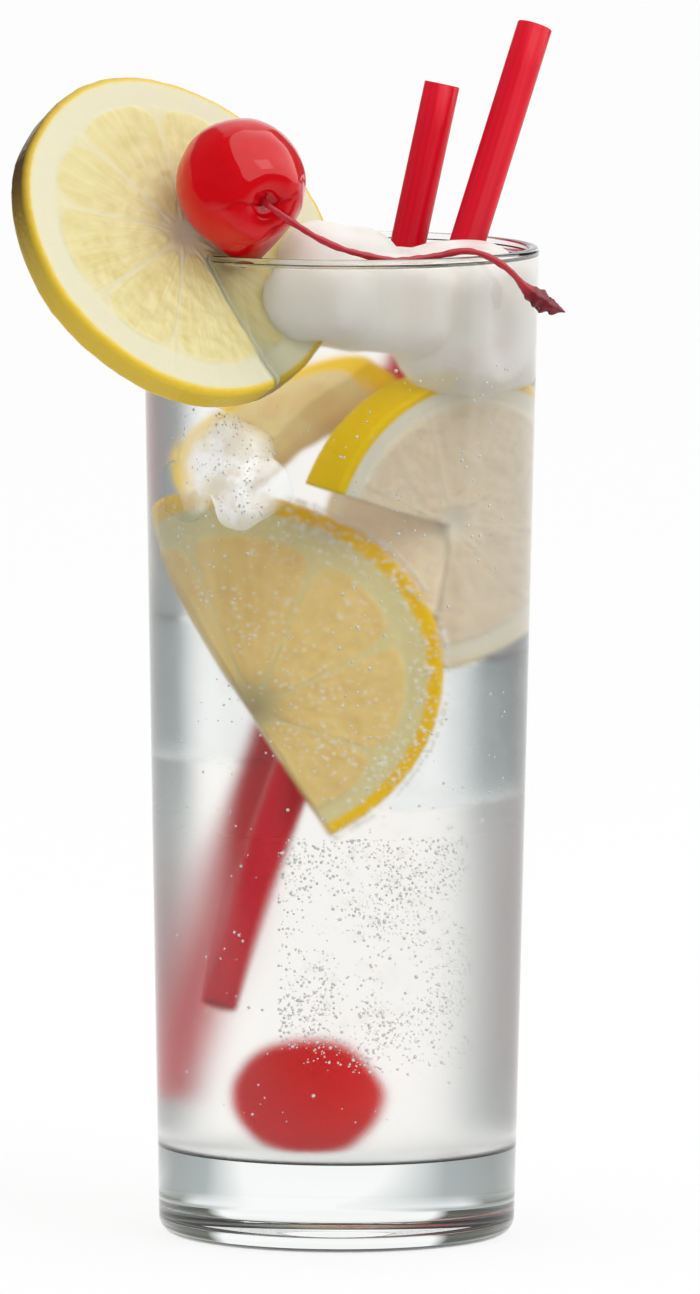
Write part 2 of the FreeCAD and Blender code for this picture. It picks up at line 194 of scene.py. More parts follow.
def arc(centre: Pair, radius: float, start: float, end: float, steps: int) -> list:
    """Points of a circular arc in the plane of a profile.

    Args:
        centre: Middle of the arc.
        radius: Its radius.
        start: First angle in degrees.
        end: Last angle in degrees.
        steps: Number of points.

    Returns:
        The points.
    """
    turns = np.radians(np.linspace(start, end, steps))
    return [(centre[0] + radius * math.cos(t), centre[1] + radius * math.sin(t)) for t in turns]


def lumps(points: Array, scale: float, seed: float, octaves: int = 3) -> Array:
    """Smooth noise from about -1 to 1 at points in mm.

    Args:
        points: N by 3 array in mm.
        scale: Size of the largest lumps in mm.
        seed: Shift that gives another pattern.
        octaves: Layers of finer noise.

    Returns:
        One value per point.
    """
    shift = Vector((seed, seed * 1.7, -seed))
    spots = [Vector(point) / scale + shift for point in points]
    return np.array([lump_noise.fractal(spot, 1.0, 2.0, octaves) for spot in spots])


@dataclass
class Grid:
    """Rows and columns of points in mm, turned into a closed piece of quads.

    The columns go once round if the grid wraps; otherwise caps close its two ends. The
    layers become mesh attributes, and u and v the surface's own map.
    """

    points: Array
    wraps: bool = True
    u: Array | None = None
    v: Array | None = None
    layers: dict[str, Array] = field(default_factory=dict)
    caps: bool = False

    def mesh(self, name: str) -> Mesh:
        """Make the mesh, with poles and seams merged and normals outward.

        Args:
            name: Name of the mesh.

        Returns:
            The new mesh, in metres.
        """
        rows, columns = self.points.shape[:2]
        last = columns if self.wraps else columns - 1
        i, j = np.meshgrid(np.arange(rows - 1), np.arange(last), indexing="ij")
        i, j = i.ravel(), j.ravel()
        corner_rows = np.stack([i, i + 1, i + 1, i], 1)
        corner_columns = np.stack([j, j, j + 1, j + 1], 1)
        faces = (corner_rows * columns + corner_columns % columns).tolist()
        if self.caps:
            faces.append([row * columns for row in range(rows)])
            faces.append([row * columns + columns - 1 for row in range(rows)])
        mesh = bpy.data.meshes.new(name)
        mesh.from_pydata((self.points.reshape(-1, 3) * MM).tolist(), [], faces)
        for layer, values in self.layers.items():
            attribute = mesh.attributes.new(layer, "FLOAT", "POINT")
            attribute.data.foreach_set("value", np.ascontiguousarray(values.ravel(), np.float32))
        if self.u is not None and self.v is not None:
            uv = np.zeros((len(mesh.loops), 2), np.float32)
            count = len(i) * 4
            uv[:count, 0] = self.u[corner_columns.ravel()]
            uv[:count, 1] = self.v[corner_rows.ravel()]
            mesh.uv_layers.new(name="surface").data.foreach_set("uv", uv.ravel())
        close_mesh(mesh)
        return mesh


def close_mesh(mesh: Mesh) -> None:
    """Merge doubled points, turn faces outward and shade them smooth.

    Args:
        mesh: Mesh in metres, changed in place.
    """
    work = bmesh.new()
    work.from_mesh(mesh)
    bmesh.ops.remove_doubles(work, verts=work.verts, dist=DOUBLED)
    bmesh.ops.dissolve_degenerate(work, edges=work.edges, dist=DEGENERATE)
    bmesh.ops.recalc_face_normals(work, faces=work.faces)
    work.to_mesh(mesh)
    work.free()
    mesh.polygons.foreach_set("use_smooth", [True] * len(mesh.polygons))


def lathe(profile: Sequence[Pair], steps: int) -> Grid:
    """Turn a profile round the upright axis.

    Args:
        profile: Radius and height of each point.
        steps: Number of columns.

    Returns:
        The turned points.
    """
    line = np.asarray(profile, float)
    points = np.zeros((len(line), steps, 3))
    points[:, :, 0] = line[:, :1] * np.cos(turns_of(steps))
    points[:, :, 1] = line[:, :1] * np.sin(turns_of(steps))
    points[:, :, 2] = line[:, 1:]
    return Grid(points)


def held(profile: Sequence[Pair], hold: float = 0.35) -> list:
    """Add points just inside long runs, so that smooth shading stays true to them.

    Args:
        profile: Radius and height of each point.
        hold: Distance of the added points from the ends of a run.

    Returns:
        The profile with the added points.
    """
    result = [profile[0]]
    for before, after in zip(profile, profile[1:]):
        start, end = np.array(before), np.array(after)
        length = np.linalg.norm(end - start)
        if length > 4 * hold:
            step = (end - start) / length * hold
            result += [tuple(start + step), tuple(end - step)]
        result.append(after)
    return result


def place(mesh: Mesh, material: Material, replaced: Sequence[str] = ()) -> Piece:
    """Put a finished mesh in the scene as a piece of the drink.

    Args:
        mesh: Mesh whose place is in its points.
        material: Its only material.
        replaced: CAD nodes that it stands for.

    Returns:
        The piece's object.
    """
    piece = in_scene(mesh.name, mesh)
    mesh.materials.clear()
    mesh.materials.append(material)
    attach(piece, BODY)
    if replaced:
        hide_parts(*replaced)
    log.info("%s: %d faces", mesh.name, len(mesh.polygons))
    return piece


# ---- finishes


# Heights in mm between which the haze of the drink thins out.
HAZE_RISE = (50.0, 75.0)


class Finish:
    """Finish of a piece as a node material; a kind of finish adds its own nodes."""

    name: str

    def build(self) -> Material:
        """Make the material."""
        material = bpy.data.materials.new(self.name)
        material.use_nodes = True
        material.node_tree.nodes.clear()
        add = partial(add_node, material.node_tree)
        add("OutputMaterial", self.shade(add))
        return material

    def shade(self, add: Adder) -> Outputs:
        """Add the nodes of this kind of finish.

        Args:
            add: Adds a node to the material.

        Returns:
            What goes to the output: a surface, and a volume if the body has one.
        """
        raise NotImplementedError


def lamp_window(add: Adder, shader: Node, tint: str) -> Node:
    """Let light from the lamps through a clear shader, tinted, to what stands behind.

    Args:
        add: Adds a node to the material.
        shader: The clear shader.
        tint: Colour that the light keeps.

    Returns:
        The combined shader.
    """
    rays = add("LightPath").outputs
    gap = add("BsdfTransparent", {"Color": linear(tint)})
    return add("MixShader", {0: rays["Is Shadow Ray"], 1: shader, 2: gap})


@dataclass(frozen=True)
class ClearFinish(Finish):
    """Clear body that bends light, with the tint it gives over its depth.

    Glass and drink touch along the wall, where next to nothing is mirrored. The mesh
    attribute "touch" marks that zone, and only bending is left there.
    """

    name: str
    ior: float
    roughness: float
    haze_high: float
    haze_low: float
    depth_tint: str
    density: float
    lamp_tint: str
    # Colour and strength of a painted glow in the body, in place of the light its pulp scatters.
    veil: str = "#FFFFFF"
    veil_density: float = 0.0

    def shade(self, add: Adder) -> Outputs:
        """Add the finish's nodes, as Finish.shade says."""
        free = add("BsdfGlass", {"Color": WHITE, "Roughness": self.roughness, "IOR": self.ior})
        where = add("TexCoord").outputs["Object"]
        height = add("SeparateXYZ", {0: where}).outputs["Z"]
        haze = add("MapRange", {"Value": height, "From Min": HAZE_RISE[0] * MM,
                "From Max": HAZE_RISE[1] * MM, "To Min": self.haze_low, "To Max": self.haze_high},
            SMOOTH)
        joined = add("BsdfRefraction", {"Color": WHITE, "Roughness": haze, "IOR": self.ior},
            {"distribution": "BECKMANN"})
        touch = add("Attribute", settings={"attribute_name": "touch"})
        body = add("MixShader", {0: touch.outputs["Fac"], 1: free, 2: joined})
        depth = add("VolumeAbsorption", {"Color": linear(self.depth_tint),
                "Density": self.density})
        if self.veil_density:
            depth = self._veil(add, depth)
        return {"Surface": lamp_window(add, body, self.lamp_tint), "Volume": depth}

    def _veil(self, add: Adder, depth: Node) -> Node:
        """Add what fine pulp does: it takes light from far things; a painted glow gives back
        white.

        Args:
            add: Adds a node to the material.
            depth: What the clear drink does to light on its way.

        Returns:
            Both together.
        """
        black = (0, 0, 0, 1)
        take = add("VolumeAbsorption", {"Color": black, "Density": self.veil_density})
        give = add("Emission", {"Color": linear(self.veil), "Strength": self.veil_density})
        haze = add("AddShader", {0: take, 1: give})
        return add("AddShader", {0: depth, 1: haze})


# Pressed and fire-polished soda-lime glass: quite smooth, faintly green in its depth.
SODA_LIME_GLASS = ClearFinish("soda_lime_glass", GLASS_IOR, 0.0, 0.0, 0.0, "#BED8CE", 2.3,
    "#EEF2F0")
# Lemon juice in soda water: cloudier toward the bottom, so that what stands far behind
# the wall is blurred there.
LEMON_SODA = ClearFinish("lemon_soda_water", WATER_IOR, 0.02, 0.2, 0.38, "#F3E4C4", 2.6, "#F2F0EA",
    veil="#F8F5EE", veil_density=1.0)


@dataclass(frozen=True)
class BubbleFinish(Finish):
    """Small bubbles of gas: mostly white, for they scatter the room's light, partly clear."""

    name: str = "carbon_dioxide_bubble"
    ior: float = 1.0 / WATER_IOR
    gleam: str = "#FFFFFF"
    gleam_share: float = 0.9

    def shade(self, add: Adder) -> Outputs:
        """Add the finish's nodes, as Finish.shade says."""
        body = add("BsdfGlass", {"Color": WHITE, "Roughness": 0.0, "IOR": self.ior})
        gleam = add("BsdfDiffuse", {"Color": linear(self.gleam)})
        both = add("MixShader", {0: self.gleam_share, 1: body, 2: gleam})
        return {"Surface": lamp_window(add, both, "#F0F0F0")}


@dataclass(frozen=True)
class IceFinish(Finish):
    """Ice: clear where it is sound, white where small gas bubbles froze in it."""

    name: str
    ior: float
    roughness: float
    cloud: str
    cloud_low: float
    cloud_high: float
    cloud_size_mm: float
    glow: float = 0.9
    # Strength of a painted glow in the white part, which keeps it bright where little light
    # reaches.
    gleam: float = 0.0
    core: Point = (0.0, 0.0, 0.0)
    core_reach: Pair | None = None

    def shade(self, add: Adder) -> Outputs:
        """Add the finish's nodes, as Finish.shade says."""
        place_in = add("TexCoord").outputs["Object"]
        clouds = add("TexNoise", {"Vector": place_in, "Scale": 1 / (self.cloud_size_mm * MM),
                "Detail": 3.0, "Roughness": 0.55})
        share = add("MapRange", {"Value": clouds, "From Min": 0.35, "From Max": 0.65,
                "To Min": self.cloud_low, "To Max": self.cloud_high}, SMOOTH)
        if self.core_reach is not None:
            share = self._fade(add, place_in, share)
        melt = add("TexNoise", {"Vector": place_in, "Scale": 1 / (2.5 * MM), "Detail": 2.0})
        ripple = add("Bump", {"Strength": 0.25, "Distance": 0.3 * MM, "Height": melt})
        clear = add("BsdfGlass", {"Color": linear("#FCFEFF"), "Roughness": self.roughness,
                "IOR": self.ior, "Normal": ripple})
        # The white part's emission is a painted glow, as strong as gleam.
        white = add("BsdfPrincipled", {"Base Color": linear(self.cloud), "Roughness": 0.35,
                "Specular IOR Level": 0.2, "Emission Color": linear(self.cloud),
                "Emission Strength": self.gleam, "Subsurface Weight": self.glow,
                "Subsurface Radius": (1.0, 1.0, 1.05), "Subsurface Scale": 7 * MM,
                "Normal": ripple})
        mix = add("MixShader", {0: share, 1: clear, 2: white})
        return {"Surface": lamp_window(add, mix, "#C8CCCC")}

    def _fade(self, add: Adder, place_in: Socket, share: Node) -> Node:
        """Keep the white part near one place and let it thin out away from there.

        Args:
            add: Adds a node to the material.
            place_in: Place in the piece.
            share: Share of white ice.

        Returns:
            The share, less away from the core.
        """
        core = tuple(MM * c for c in self.core)
        away = add("VectorMath", {0: place_in, 1: core}, {"operation": "DISTANCE"})
        near, far = self.core_reach
        limits = {"From Min": far * MM, "From Max": near * MM}
        return add("MapRange", {"Value": away.outputs["Value"], **limits, "To Max": share}, SMOOTH)


# Ice that stands out of the drink: wet, worn round and cloudy right through, with a faint painted
# glow.
CLOUDY_ICE = IceFinish("cloudy_wet_ice", 1.05, 0.3, "#E6E4DE", 0.74, 0.95, 9.0, 0.9, 0.12)
# Sunk ice, half melted and white with gas round its middle; a painted glow keeps its white bright.
FROSTED_ICE = IceFinish("frosted_sunk_ice", MELTING_IOR, 0.3, "#FFFFFF", 0.5, 0.98, 4.0, glow=0.25,
    gleam=0.4, core=(-16.5, -20.5, 119.5), core_reach=(5.5, 11.0))
# Sound sunk ice: an index near 1 against the water round it, so that it hardly shows.
SUNK_ICE = IceFinish("sunk_ice", (1 + ICE_IOR / WATER_IOR) / 2, 0.14, "#EEF1F2", 0.0, 0.06, 6.0)


@dataclass(frozen=True)
class StrawFinish(Finish):
    """Extruded polypropylene: even colour, soft gloss, faint lines along the draw."""

    name: str = "extruded_polypropylene"
    colour: str = "#EC0A2C"
    deep: str = "#B2021C"
    line_mm: float = 0.5

    def shade(self, add: Adder) -> Outputs:
        """Add the finish's nodes, as Finish.shade says."""
        uv = add("UVMap", settings={"uv_map": "surface"}).outputs[0]
        stretched = add("Mapping", {"Vector": uv, "Scale": (1 / self.line_mm, 0.02, 1)})
        lines = add("TexNoise", {"Vector": stretched, "Scale": 1.0, "Detail": 2.0})
        colour = add("Mix", {"Factor": lines, 6: linear(self.deep), 7: linear(self.colour)},
            COLOURS)
        draw_lines = add("Bump", {"Strength": 0.15, "Distance": 0.05 * MM, "Height": lines})
        body = add("BsdfPrincipled", {"Base Color": colour.outputs[2], "Roughness": 0.3,
                "IOR": 1.49, "Specular IOR Level": 0.2, "Subsurface Weight": 0.25,
                "Subsurface Radius": (1.0, 0.15, 0.2), "Subsurface Scale": 0.8 * MM,
                "Normal": draw_lines})
        return {"Surface": body}


@dataclass(frozen=True)
class LemonFinish(Finish):
    """Cut lemon: juice sacs, white pith, oily rind; zones come as mesh attributes."""

    name: str
    flesh_light: str
    flesh_deep: str
    membrane: str
    pith: str
    rind_face: str
    # Colour of the rind's side; for the fresh lemon a dark brown, which is painted shade.
    rind_shaded: str
    heart: str
    wet: float = 0.3
    shine: float = 0.4
    glow: float = 0.35
    relief: float = 0.35
    # Strength of a painted glow in the lemon's own colours, which lifts it out of shade.
    gleam: float = 0.0

    def shade(self, add: Adder) -> Outputs:
        """Add the finish's nodes, as Finish.shade says."""
        uv = add("UVMap", settings={"uv_map": "surface"}).outputs[0]
        inside = add("TexCoord").outputs["Object"]
        sacs = add("TexVoronoi", {"Vector": uv, "Scale": 1.0, "Randomness": 0.9,
                "Smoothness": 0.35}, {"voronoi_dimensions": "2D", "feature": "SMOOTH_F1"})
        fibre_place = add("Mapping", {"Vector": uv, "Scale": (2.2, 0.6, 1.0)})
        fibres = add("TexNoise", {"Vector": fibre_place, "Scale": 1.0, "Detail": 4.0,
                "Roughness": 0.6}, {"noise_dimensions": "2D"})
        blotches = add("TexNoise", {"Vector": inside, "Scale": 1 / (6 * MM), "Detail": 3.0,
                "Roughness": 0.6})
        pores = add("TexVoronoi", {"Vector": inside, "Scale": 1 / (1.1 * MM), "Randomness": 0.8},
            {"feature": "F1"})
        tone = add("Math", {0: sacs.outputs["Distance"], 1: 0.6, 2: fibres},
            {"operation": "MULTIPLY_ADD"})
        tone_range = add("Math", {0: tone, 1: blotches},
            {"operation": "MULTIPLY", "use_clamp": True})
        flesh = add("Mix", {"Factor": tone_range, 6: linear(self.flesh_light),
                7: linear(self.flesh_deep)}, COLOURS)
        pith = add("Mix", {"Factor": blotches, 6: linear(self.pith), 7: linear(self.membrane)},
            COLOURS)
        # The rind's side turns to the shaded rind colour by the "shade" zone: painted shade.
        rind = add("Mix", {"Factor": self._zone(add, "shade"), 6: linear(self.rind_face),
                7: linear(self.rind_shaded)}, COLOURS)
        colour = pith.outputs[2]
        for layer, shade in (("flesh", flesh.outputs[2]), ("rind", rind.outputs[2]),
            ("heart", linear(self.heart))):
            mix = add("Mix", {"Factor": self._zone(add, layer), 6: colour, 7: shade}, COLOURS)
            colour = mix.outputs[2]
        height = add("Mix", {"Factor": self._zone(add, "rind"), 2: tone,
                3: pores.outputs["Distance"]}, {"data_type": "FLOAT"})
        relief = add("Bump", {"Strength": self.relief, "Distance": 0.25 * MM, "Height": height})
        # The emission is a painted glow, as strong as gleam.
        body = add("BsdfPrincipled", {"Base Color": colour, "Emission Color": colour,
                "Emission Strength": self.gleam, "Roughness": self.wet, "IOR": 1.38,
                "Specular IOR Level": self.shine, "Subsurface Weight": self.glow,
                "Subsurface Radius": (1.0, 0.92, 0.45), "Subsurface Scale": 2.0 * MM,
                "Normal": relief})
        return {"Surface": body}

    @staticmethod
    def _zone(add: Adder, layer: str) -> Socket:
        """Read one zone mask of the mesh."""
        return add("Attribute", settings={"attribute_name": layer}).outputs["Fac"]


# Fresh cut lemon in air: pale juice sacs, cream pith, oily yellow rind; its rind's side is painted
# dark brown shade.
FRESH_LEMON = LemonFinish("fresh_cut_lemon", "#E2D8A6", "#C8B86C", "#DCD6B2", "#D8D5BC", "#E0C038",
    "#4E3406", "#E8E2C6")
# Lemon soaked in the drink: golden, glassy flesh and a greenish pith.
SOAKED_LEMON = LemonFinish("soaked_lemon", "#F2DA98", "#E0BA70", "#E2D8A6", "#E4D8A2", "#F4C808",
    "#F0C00C", "#6B4A33", shine=0.06, relief=0.1)
# Lemon seen edge on through much of the drink, which deepens its gold; it has a faint painted
# glow.
GOLDEN_LEMON = LemonFinish("steeped_lemon", "#EED49A", "#E0BC78", "#ECD8A4", "#EBD294", "#FFD000",
    "#FFD000", "#E6C07A", shine=0.06, relief=0.1, gleam=0.12)
# Lemon deeper in the drink, bleached by it.
BLEACHED_LEMON = LemonFinish("bleached_lemon", "#ECDDC6", "#E3CFB2", "#EBDFCC", "#F0EEDC",
    "#F4CC12", "#F4CC12", "#E6D8BE", shine=0.06, relief=0.15)
# The same with a painted glow, which lifts it out of the shade of the slices round it.
PAINTED_GLOW_LEMON = replace(BLEACHED_LEMON, name="painted_glow_lemon", gleam=0.12)


@dataclass(frozen=True)
class CherryFinish(Finish):
    """Cherry in syrup: taut dyed skin under a wet coat, faintly mottled, shade painted in hollows.
    """

    name: str
    colour: str
    # Darker red, for the mottle and for the painted shade in the creases and the dimple.
    deep: str
    coat: float
    shine: float
    roughness: float

    def shade(self, add: Adder) -> Outputs:
        """Add the finish's nodes, as Finish.shade says."""
        inside = add("TexCoord").outputs["Object"]
        mottle = add("TexNoise", {"Vector": inside, "Scale": 1 / (4 * MM), "Detail": 4.0,
                "Roughness": 0.6})
        # The "crease" zone is painted shade: darker in the creases and round the dimple.
        crease = add("Attribute", settings={"attribute_name": "crease"})
        share = add("Math", {0: mottle, 1: 0.6, 2: crease.outputs["Fac"]},
            {"operation": "MULTIPLY_ADD", "use_clamp": True})
        colour = add("Mix", {"Factor": share, 6: linear(self.colour), 7: linear(self.deep)},
            COLOURS)
        skin = add("TexNoise", {"Vector": inside, "Scale": 1 / (1.3 * MM), "Detail": 2.0})
        relief = add("Bump", {"Strength": 0.12, "Distance": 0.12 * MM, "Height": skin})
        body = add("BsdfPrincipled", {"Base Color": colour.outputs[2], "Roughness": self.roughness,
                "IOR": 1.38, "Specular IOR Level": self.shine, "Subsurface Weight": 0.3,
                "Subsurface Radius": (1.0, 0.1, 0.08), "Subsurface Scale": 1.5 * MM,
                "Coat Weight": self.coat, "Coat Roughness": 0.03, "Coat IOR": 1.36,
                "Normal": relief})
        return {"Surface": body}


SYRUP_CHERRY = CherryFinish("syruped_cherry_skin", "#D2020F", "#A3010C", 0.9, 0.05, 0.3)
SUNK_CHERRY = CherryFinish("soaked_cherry_skin", "#DC0E12", "#C4080E", 0.0, 0.03, 0.5)


@dataclass(frozen=True)
class StemFinish(Finish):
    """Dyed cherry stalk: fine lengthwise fibres, woody and dark at the knot."""

    name: str = "dyed_cherry_stalk"
    colour: str = "#BE1A2E"
    deep: str = "#860F1E"
    woody: str = "#6E141F"

    def shade(self, add: Adder) -> Outputs:
        """Add the finish's nodes, as Finish.shade says."""
        uv = add("UVMap", settings={"uv_map": "surface"}).outputs[0]
        along = add("Mapping", {"Vector": uv, "Scale": (9.0, 0.7, 1.0)})
        fibres = add("TexNoise", {"Vector": along, "Scale": 1.0, "Detail": 4.0, "Roughness": 0.65})
        colour = add("Mix", {"Factor": fibres, 6: linear(self.deep), 7: linear(self.colour)},
            COLOURS)
        knot = add("Attribute", settings={"attribute_name": "woody"})
        whole = add("Mix", {"Factor": knot.outputs["Fac"], 6: colour.outputs[2],
                7: linear(self.woody)}, COLOURS)
        relief = add("Bump", {"Strength": 0.5, "Distance": 0.12 * MM, "Height": fibres})
        body = add("BsdfPrincipled", {"Base Color": whole.outputs[2], "Roughness": 0.35,
                "IOR": 1.42, "Normal": relief})
        return {"Surface": body}


# ---- tumbler and drink


@dataclass(frozen=True)
class Tumbler:
    """Straight tapered tumbler with a thick foot, sizes in mm."""

    height: float = 153.0
    rim_diameter: float = 61.0
    foot_diameter: float = 54.8
    wall: float = 1.6
    floor: float = 13.6
    heel: float = 3.0
    floor_corner: float = 2.5
    lip: float = 0.7
    ring_inner_radius: float = 16.0
    punt: float = 1.5
    filled_to: float = 151.5
    steps: int = 256

    def outer(self, height: float) -> float:
        """Outside radius at a height."""
        rise = (self.rim_diameter - self.foot_diameter) * height / self.height
        return (self.foot_diameter + rise) / 2

    def inner(self, height: float) -> float:
        """Inside radius at a height."""
        return self.outer(height) - self.wall

    def lean(self) -> float:
        """Angle of the wall from upright, in degrees."""
        return math.degrees(math.atan((self.rim_diameter - self.foot_diameter) / 2 / self.height))

    def profile(self) -> list[Pair]:
        """Outline from the middle of the punt round to the middle of the floor."""
        lean = self.lean()
        ring = self.ring_inner_radius
        punt_top = [(ring * s, self.punt * (1 - s * s) ** 2) for s in np.linspace(0, 1, 14)]
        heel_centre = (self.outer(self.heel) - self.heel, self.heel)
        heel = arc(heel_centre, self.heel, -90, -lean, 9)
        top = self.height - self.lip
        rim_outer = arc((self.outer(top) - self.lip, top), self.lip, -lean, 90, 7)
        rim_inner = arc((self.inner(top) + self.lip, top), self.lip, 90, 180 - lean, 7)
        corner = self.floor_corner
        corner_centre = (self.inner(self.floor + corner) - corner, self.floor + corner)
        floor_corner = arc(corner_centre, corner, -lean, -90, 8)
        level = [(self.inner(z), z) for z in (self.filled_to + 0.6, self.filled_to + 0.5)]
        inside = [*level, *floor_corner, (0.0, self.floor)]
        return held([*punt_top, *heel, *rim_outer, *rim_inner, *inside])

    def build(self) -> Piece:
        """Make the tumbler and dress it in glass."""
        grid = lathe(self.profile(), self.steps)
        radius = np.hypot(grid.points[:, :, 0], grid.points[:, :, 1])
        height = grid.points[:, :, 2]
        inside = (radius < self.outer(height) - self.wall / 2) & (height > self.floor - 0.01)
        grid.layers["touch"] = (inside & (height < self.filled_to + 0.55)).astype(float)
        return place(grid.mesh("tumbler"), SODA_LIME_GLASS.build(), ["glass"])


@dataclass(frozen=True)
class Drink:
    """The liquid, which reaches just into the wall, with a meniscus, sizes in mm."""

    tumbler: Tumbler
    level: float = 151.5
    into_wall: float = 0.06
    meniscus: float = 0.7
    climb: float = 0.6
    curl: float = 2.5

    def build(self) -> Piece:
        """Make the liquid and dress it."""
        tumbler, skin = self.tumbler, self.into_wall
        corner = tumbler.floor_corner
        bottom = tumbler.floor - skin
        centre = (tumbler.inner(tumbler.floor + corner) - corner, tumbler.floor + corner)
        low = arc(centre, corner + skin, -90, -tumbler.lean(), 8)
        edge = self.level + self.climb
        reach = tumbler.inner(edge) + skin
        rise = [(reach - self.meniscus * s,
                self.level + self.climb * (1 - s) ** self.curl) for s in np.linspace(0, 1, 8)]
        grid = lathe(held([(0.0, bottom), *low, *rise, (0.0, self.level)]), tumbler.steps)
        radius = np.hypot(grid.points[:, :, 0], grid.points[:, :, 1])
        top = grid.points[:, :, 2] > self.level - 0.01
        grid.layers["touch"] = 1.0 - (top & (radius < reach - 0.01)).astype(float)
        return place(grid.mesh("liquid"), LEMON_SODA.build(), ["drink"])


# ---- straws


@dataclass(frozen=True)
class Straw:
    """Drinking straw that leans on the inside of the rim, sizes in mm and degrees."""

    name: str
    rim_azimuth: float
    foot_azimuth: float
    foot_from_wall: float
    foot_lift: float
    diameter: float = 5.5
    bore: float = 4.9
    length: float = 160.0
    rim_gap: float = 0.3
    lip: float = 0.1
    steps: int = 48

    def line(self, tumbler: Tumbler) -> tuple[Array, Array]:
        """Find where the straw stands.

        Args:
            tumbler: Glass that it leans in.

        Returns:
            Its lower end and its direction.
        """
        half = self.diameter / 2
        height = tumbler.floor + self.foot_lift
        foot = azimuth_point(self.foot_azimuth, tumbler.inner(height) - half - self.foot_from_wall,
            height)
        reach = tumbler.inner(tumbler.height) - half - self.rim_gap
        lean = azimuth_point(self.rim_azimuth, reach, tumbler.height)
        slope = math.acos(unit(lean - foot)[2])
        reach -= half * (1 / math.cos(slope) - 1)
        lean = azimuth_point(self.rim_azimuth, reach, tumbler.height)
        return foot, unit(lean - foot)

    def build(self, tumbler: Tumbler, material: Material) -> Piece:
        """Make the tube with its two softened ends.

        Args:
            tumbler: Glass that it leans in.
            material: Its plastic.

        Returns:
            The straw's object.
        """
        foot, direction = self.line(tumbler)
        side = unit(np.cross(direction, [0.0, 1.0, 0.0]))
        across = np.cross(direction, side)
        outer, inner, lip = self.diameter / 2, self.bore / 2, self.lip
        outside = [(outer, s) for s in np.linspace(lip, self.length - lip, 24)]
        inside = [(inner, s) for s in np.linspace(self.length - lip, lip, 24)]
        profile = [(outer - lip, 0.0), *outside, (outer - lip, self.length),
            (inner + lip, self.length), *inside, (inner + lip, 0.0), (outer - lip, 0.0)]
        round_way = circle(turns_of(self.steps), side, across)
        radii, reach = np.array(profile).T
        points = foot + radii[:, None, None] * round_way + (reach[:, None] * direction)[:, None]
        columns = np.arange(self.steps + 1) * FULL_TURN / self.steps * outer
        mesh = Grid(points, u=columns, v=reach).mesh(f"straw_{self.name}_tube")
        return place(mesh, material, [f"straw_{self.name}"])


SHORT_STRAW = Straw("short", 65.5, 145.0, 2.4, 6.5)
TALL_STRAW = Straw("tall", 39.6, 220.5, 2.0, 23.6)


# ---- lemon


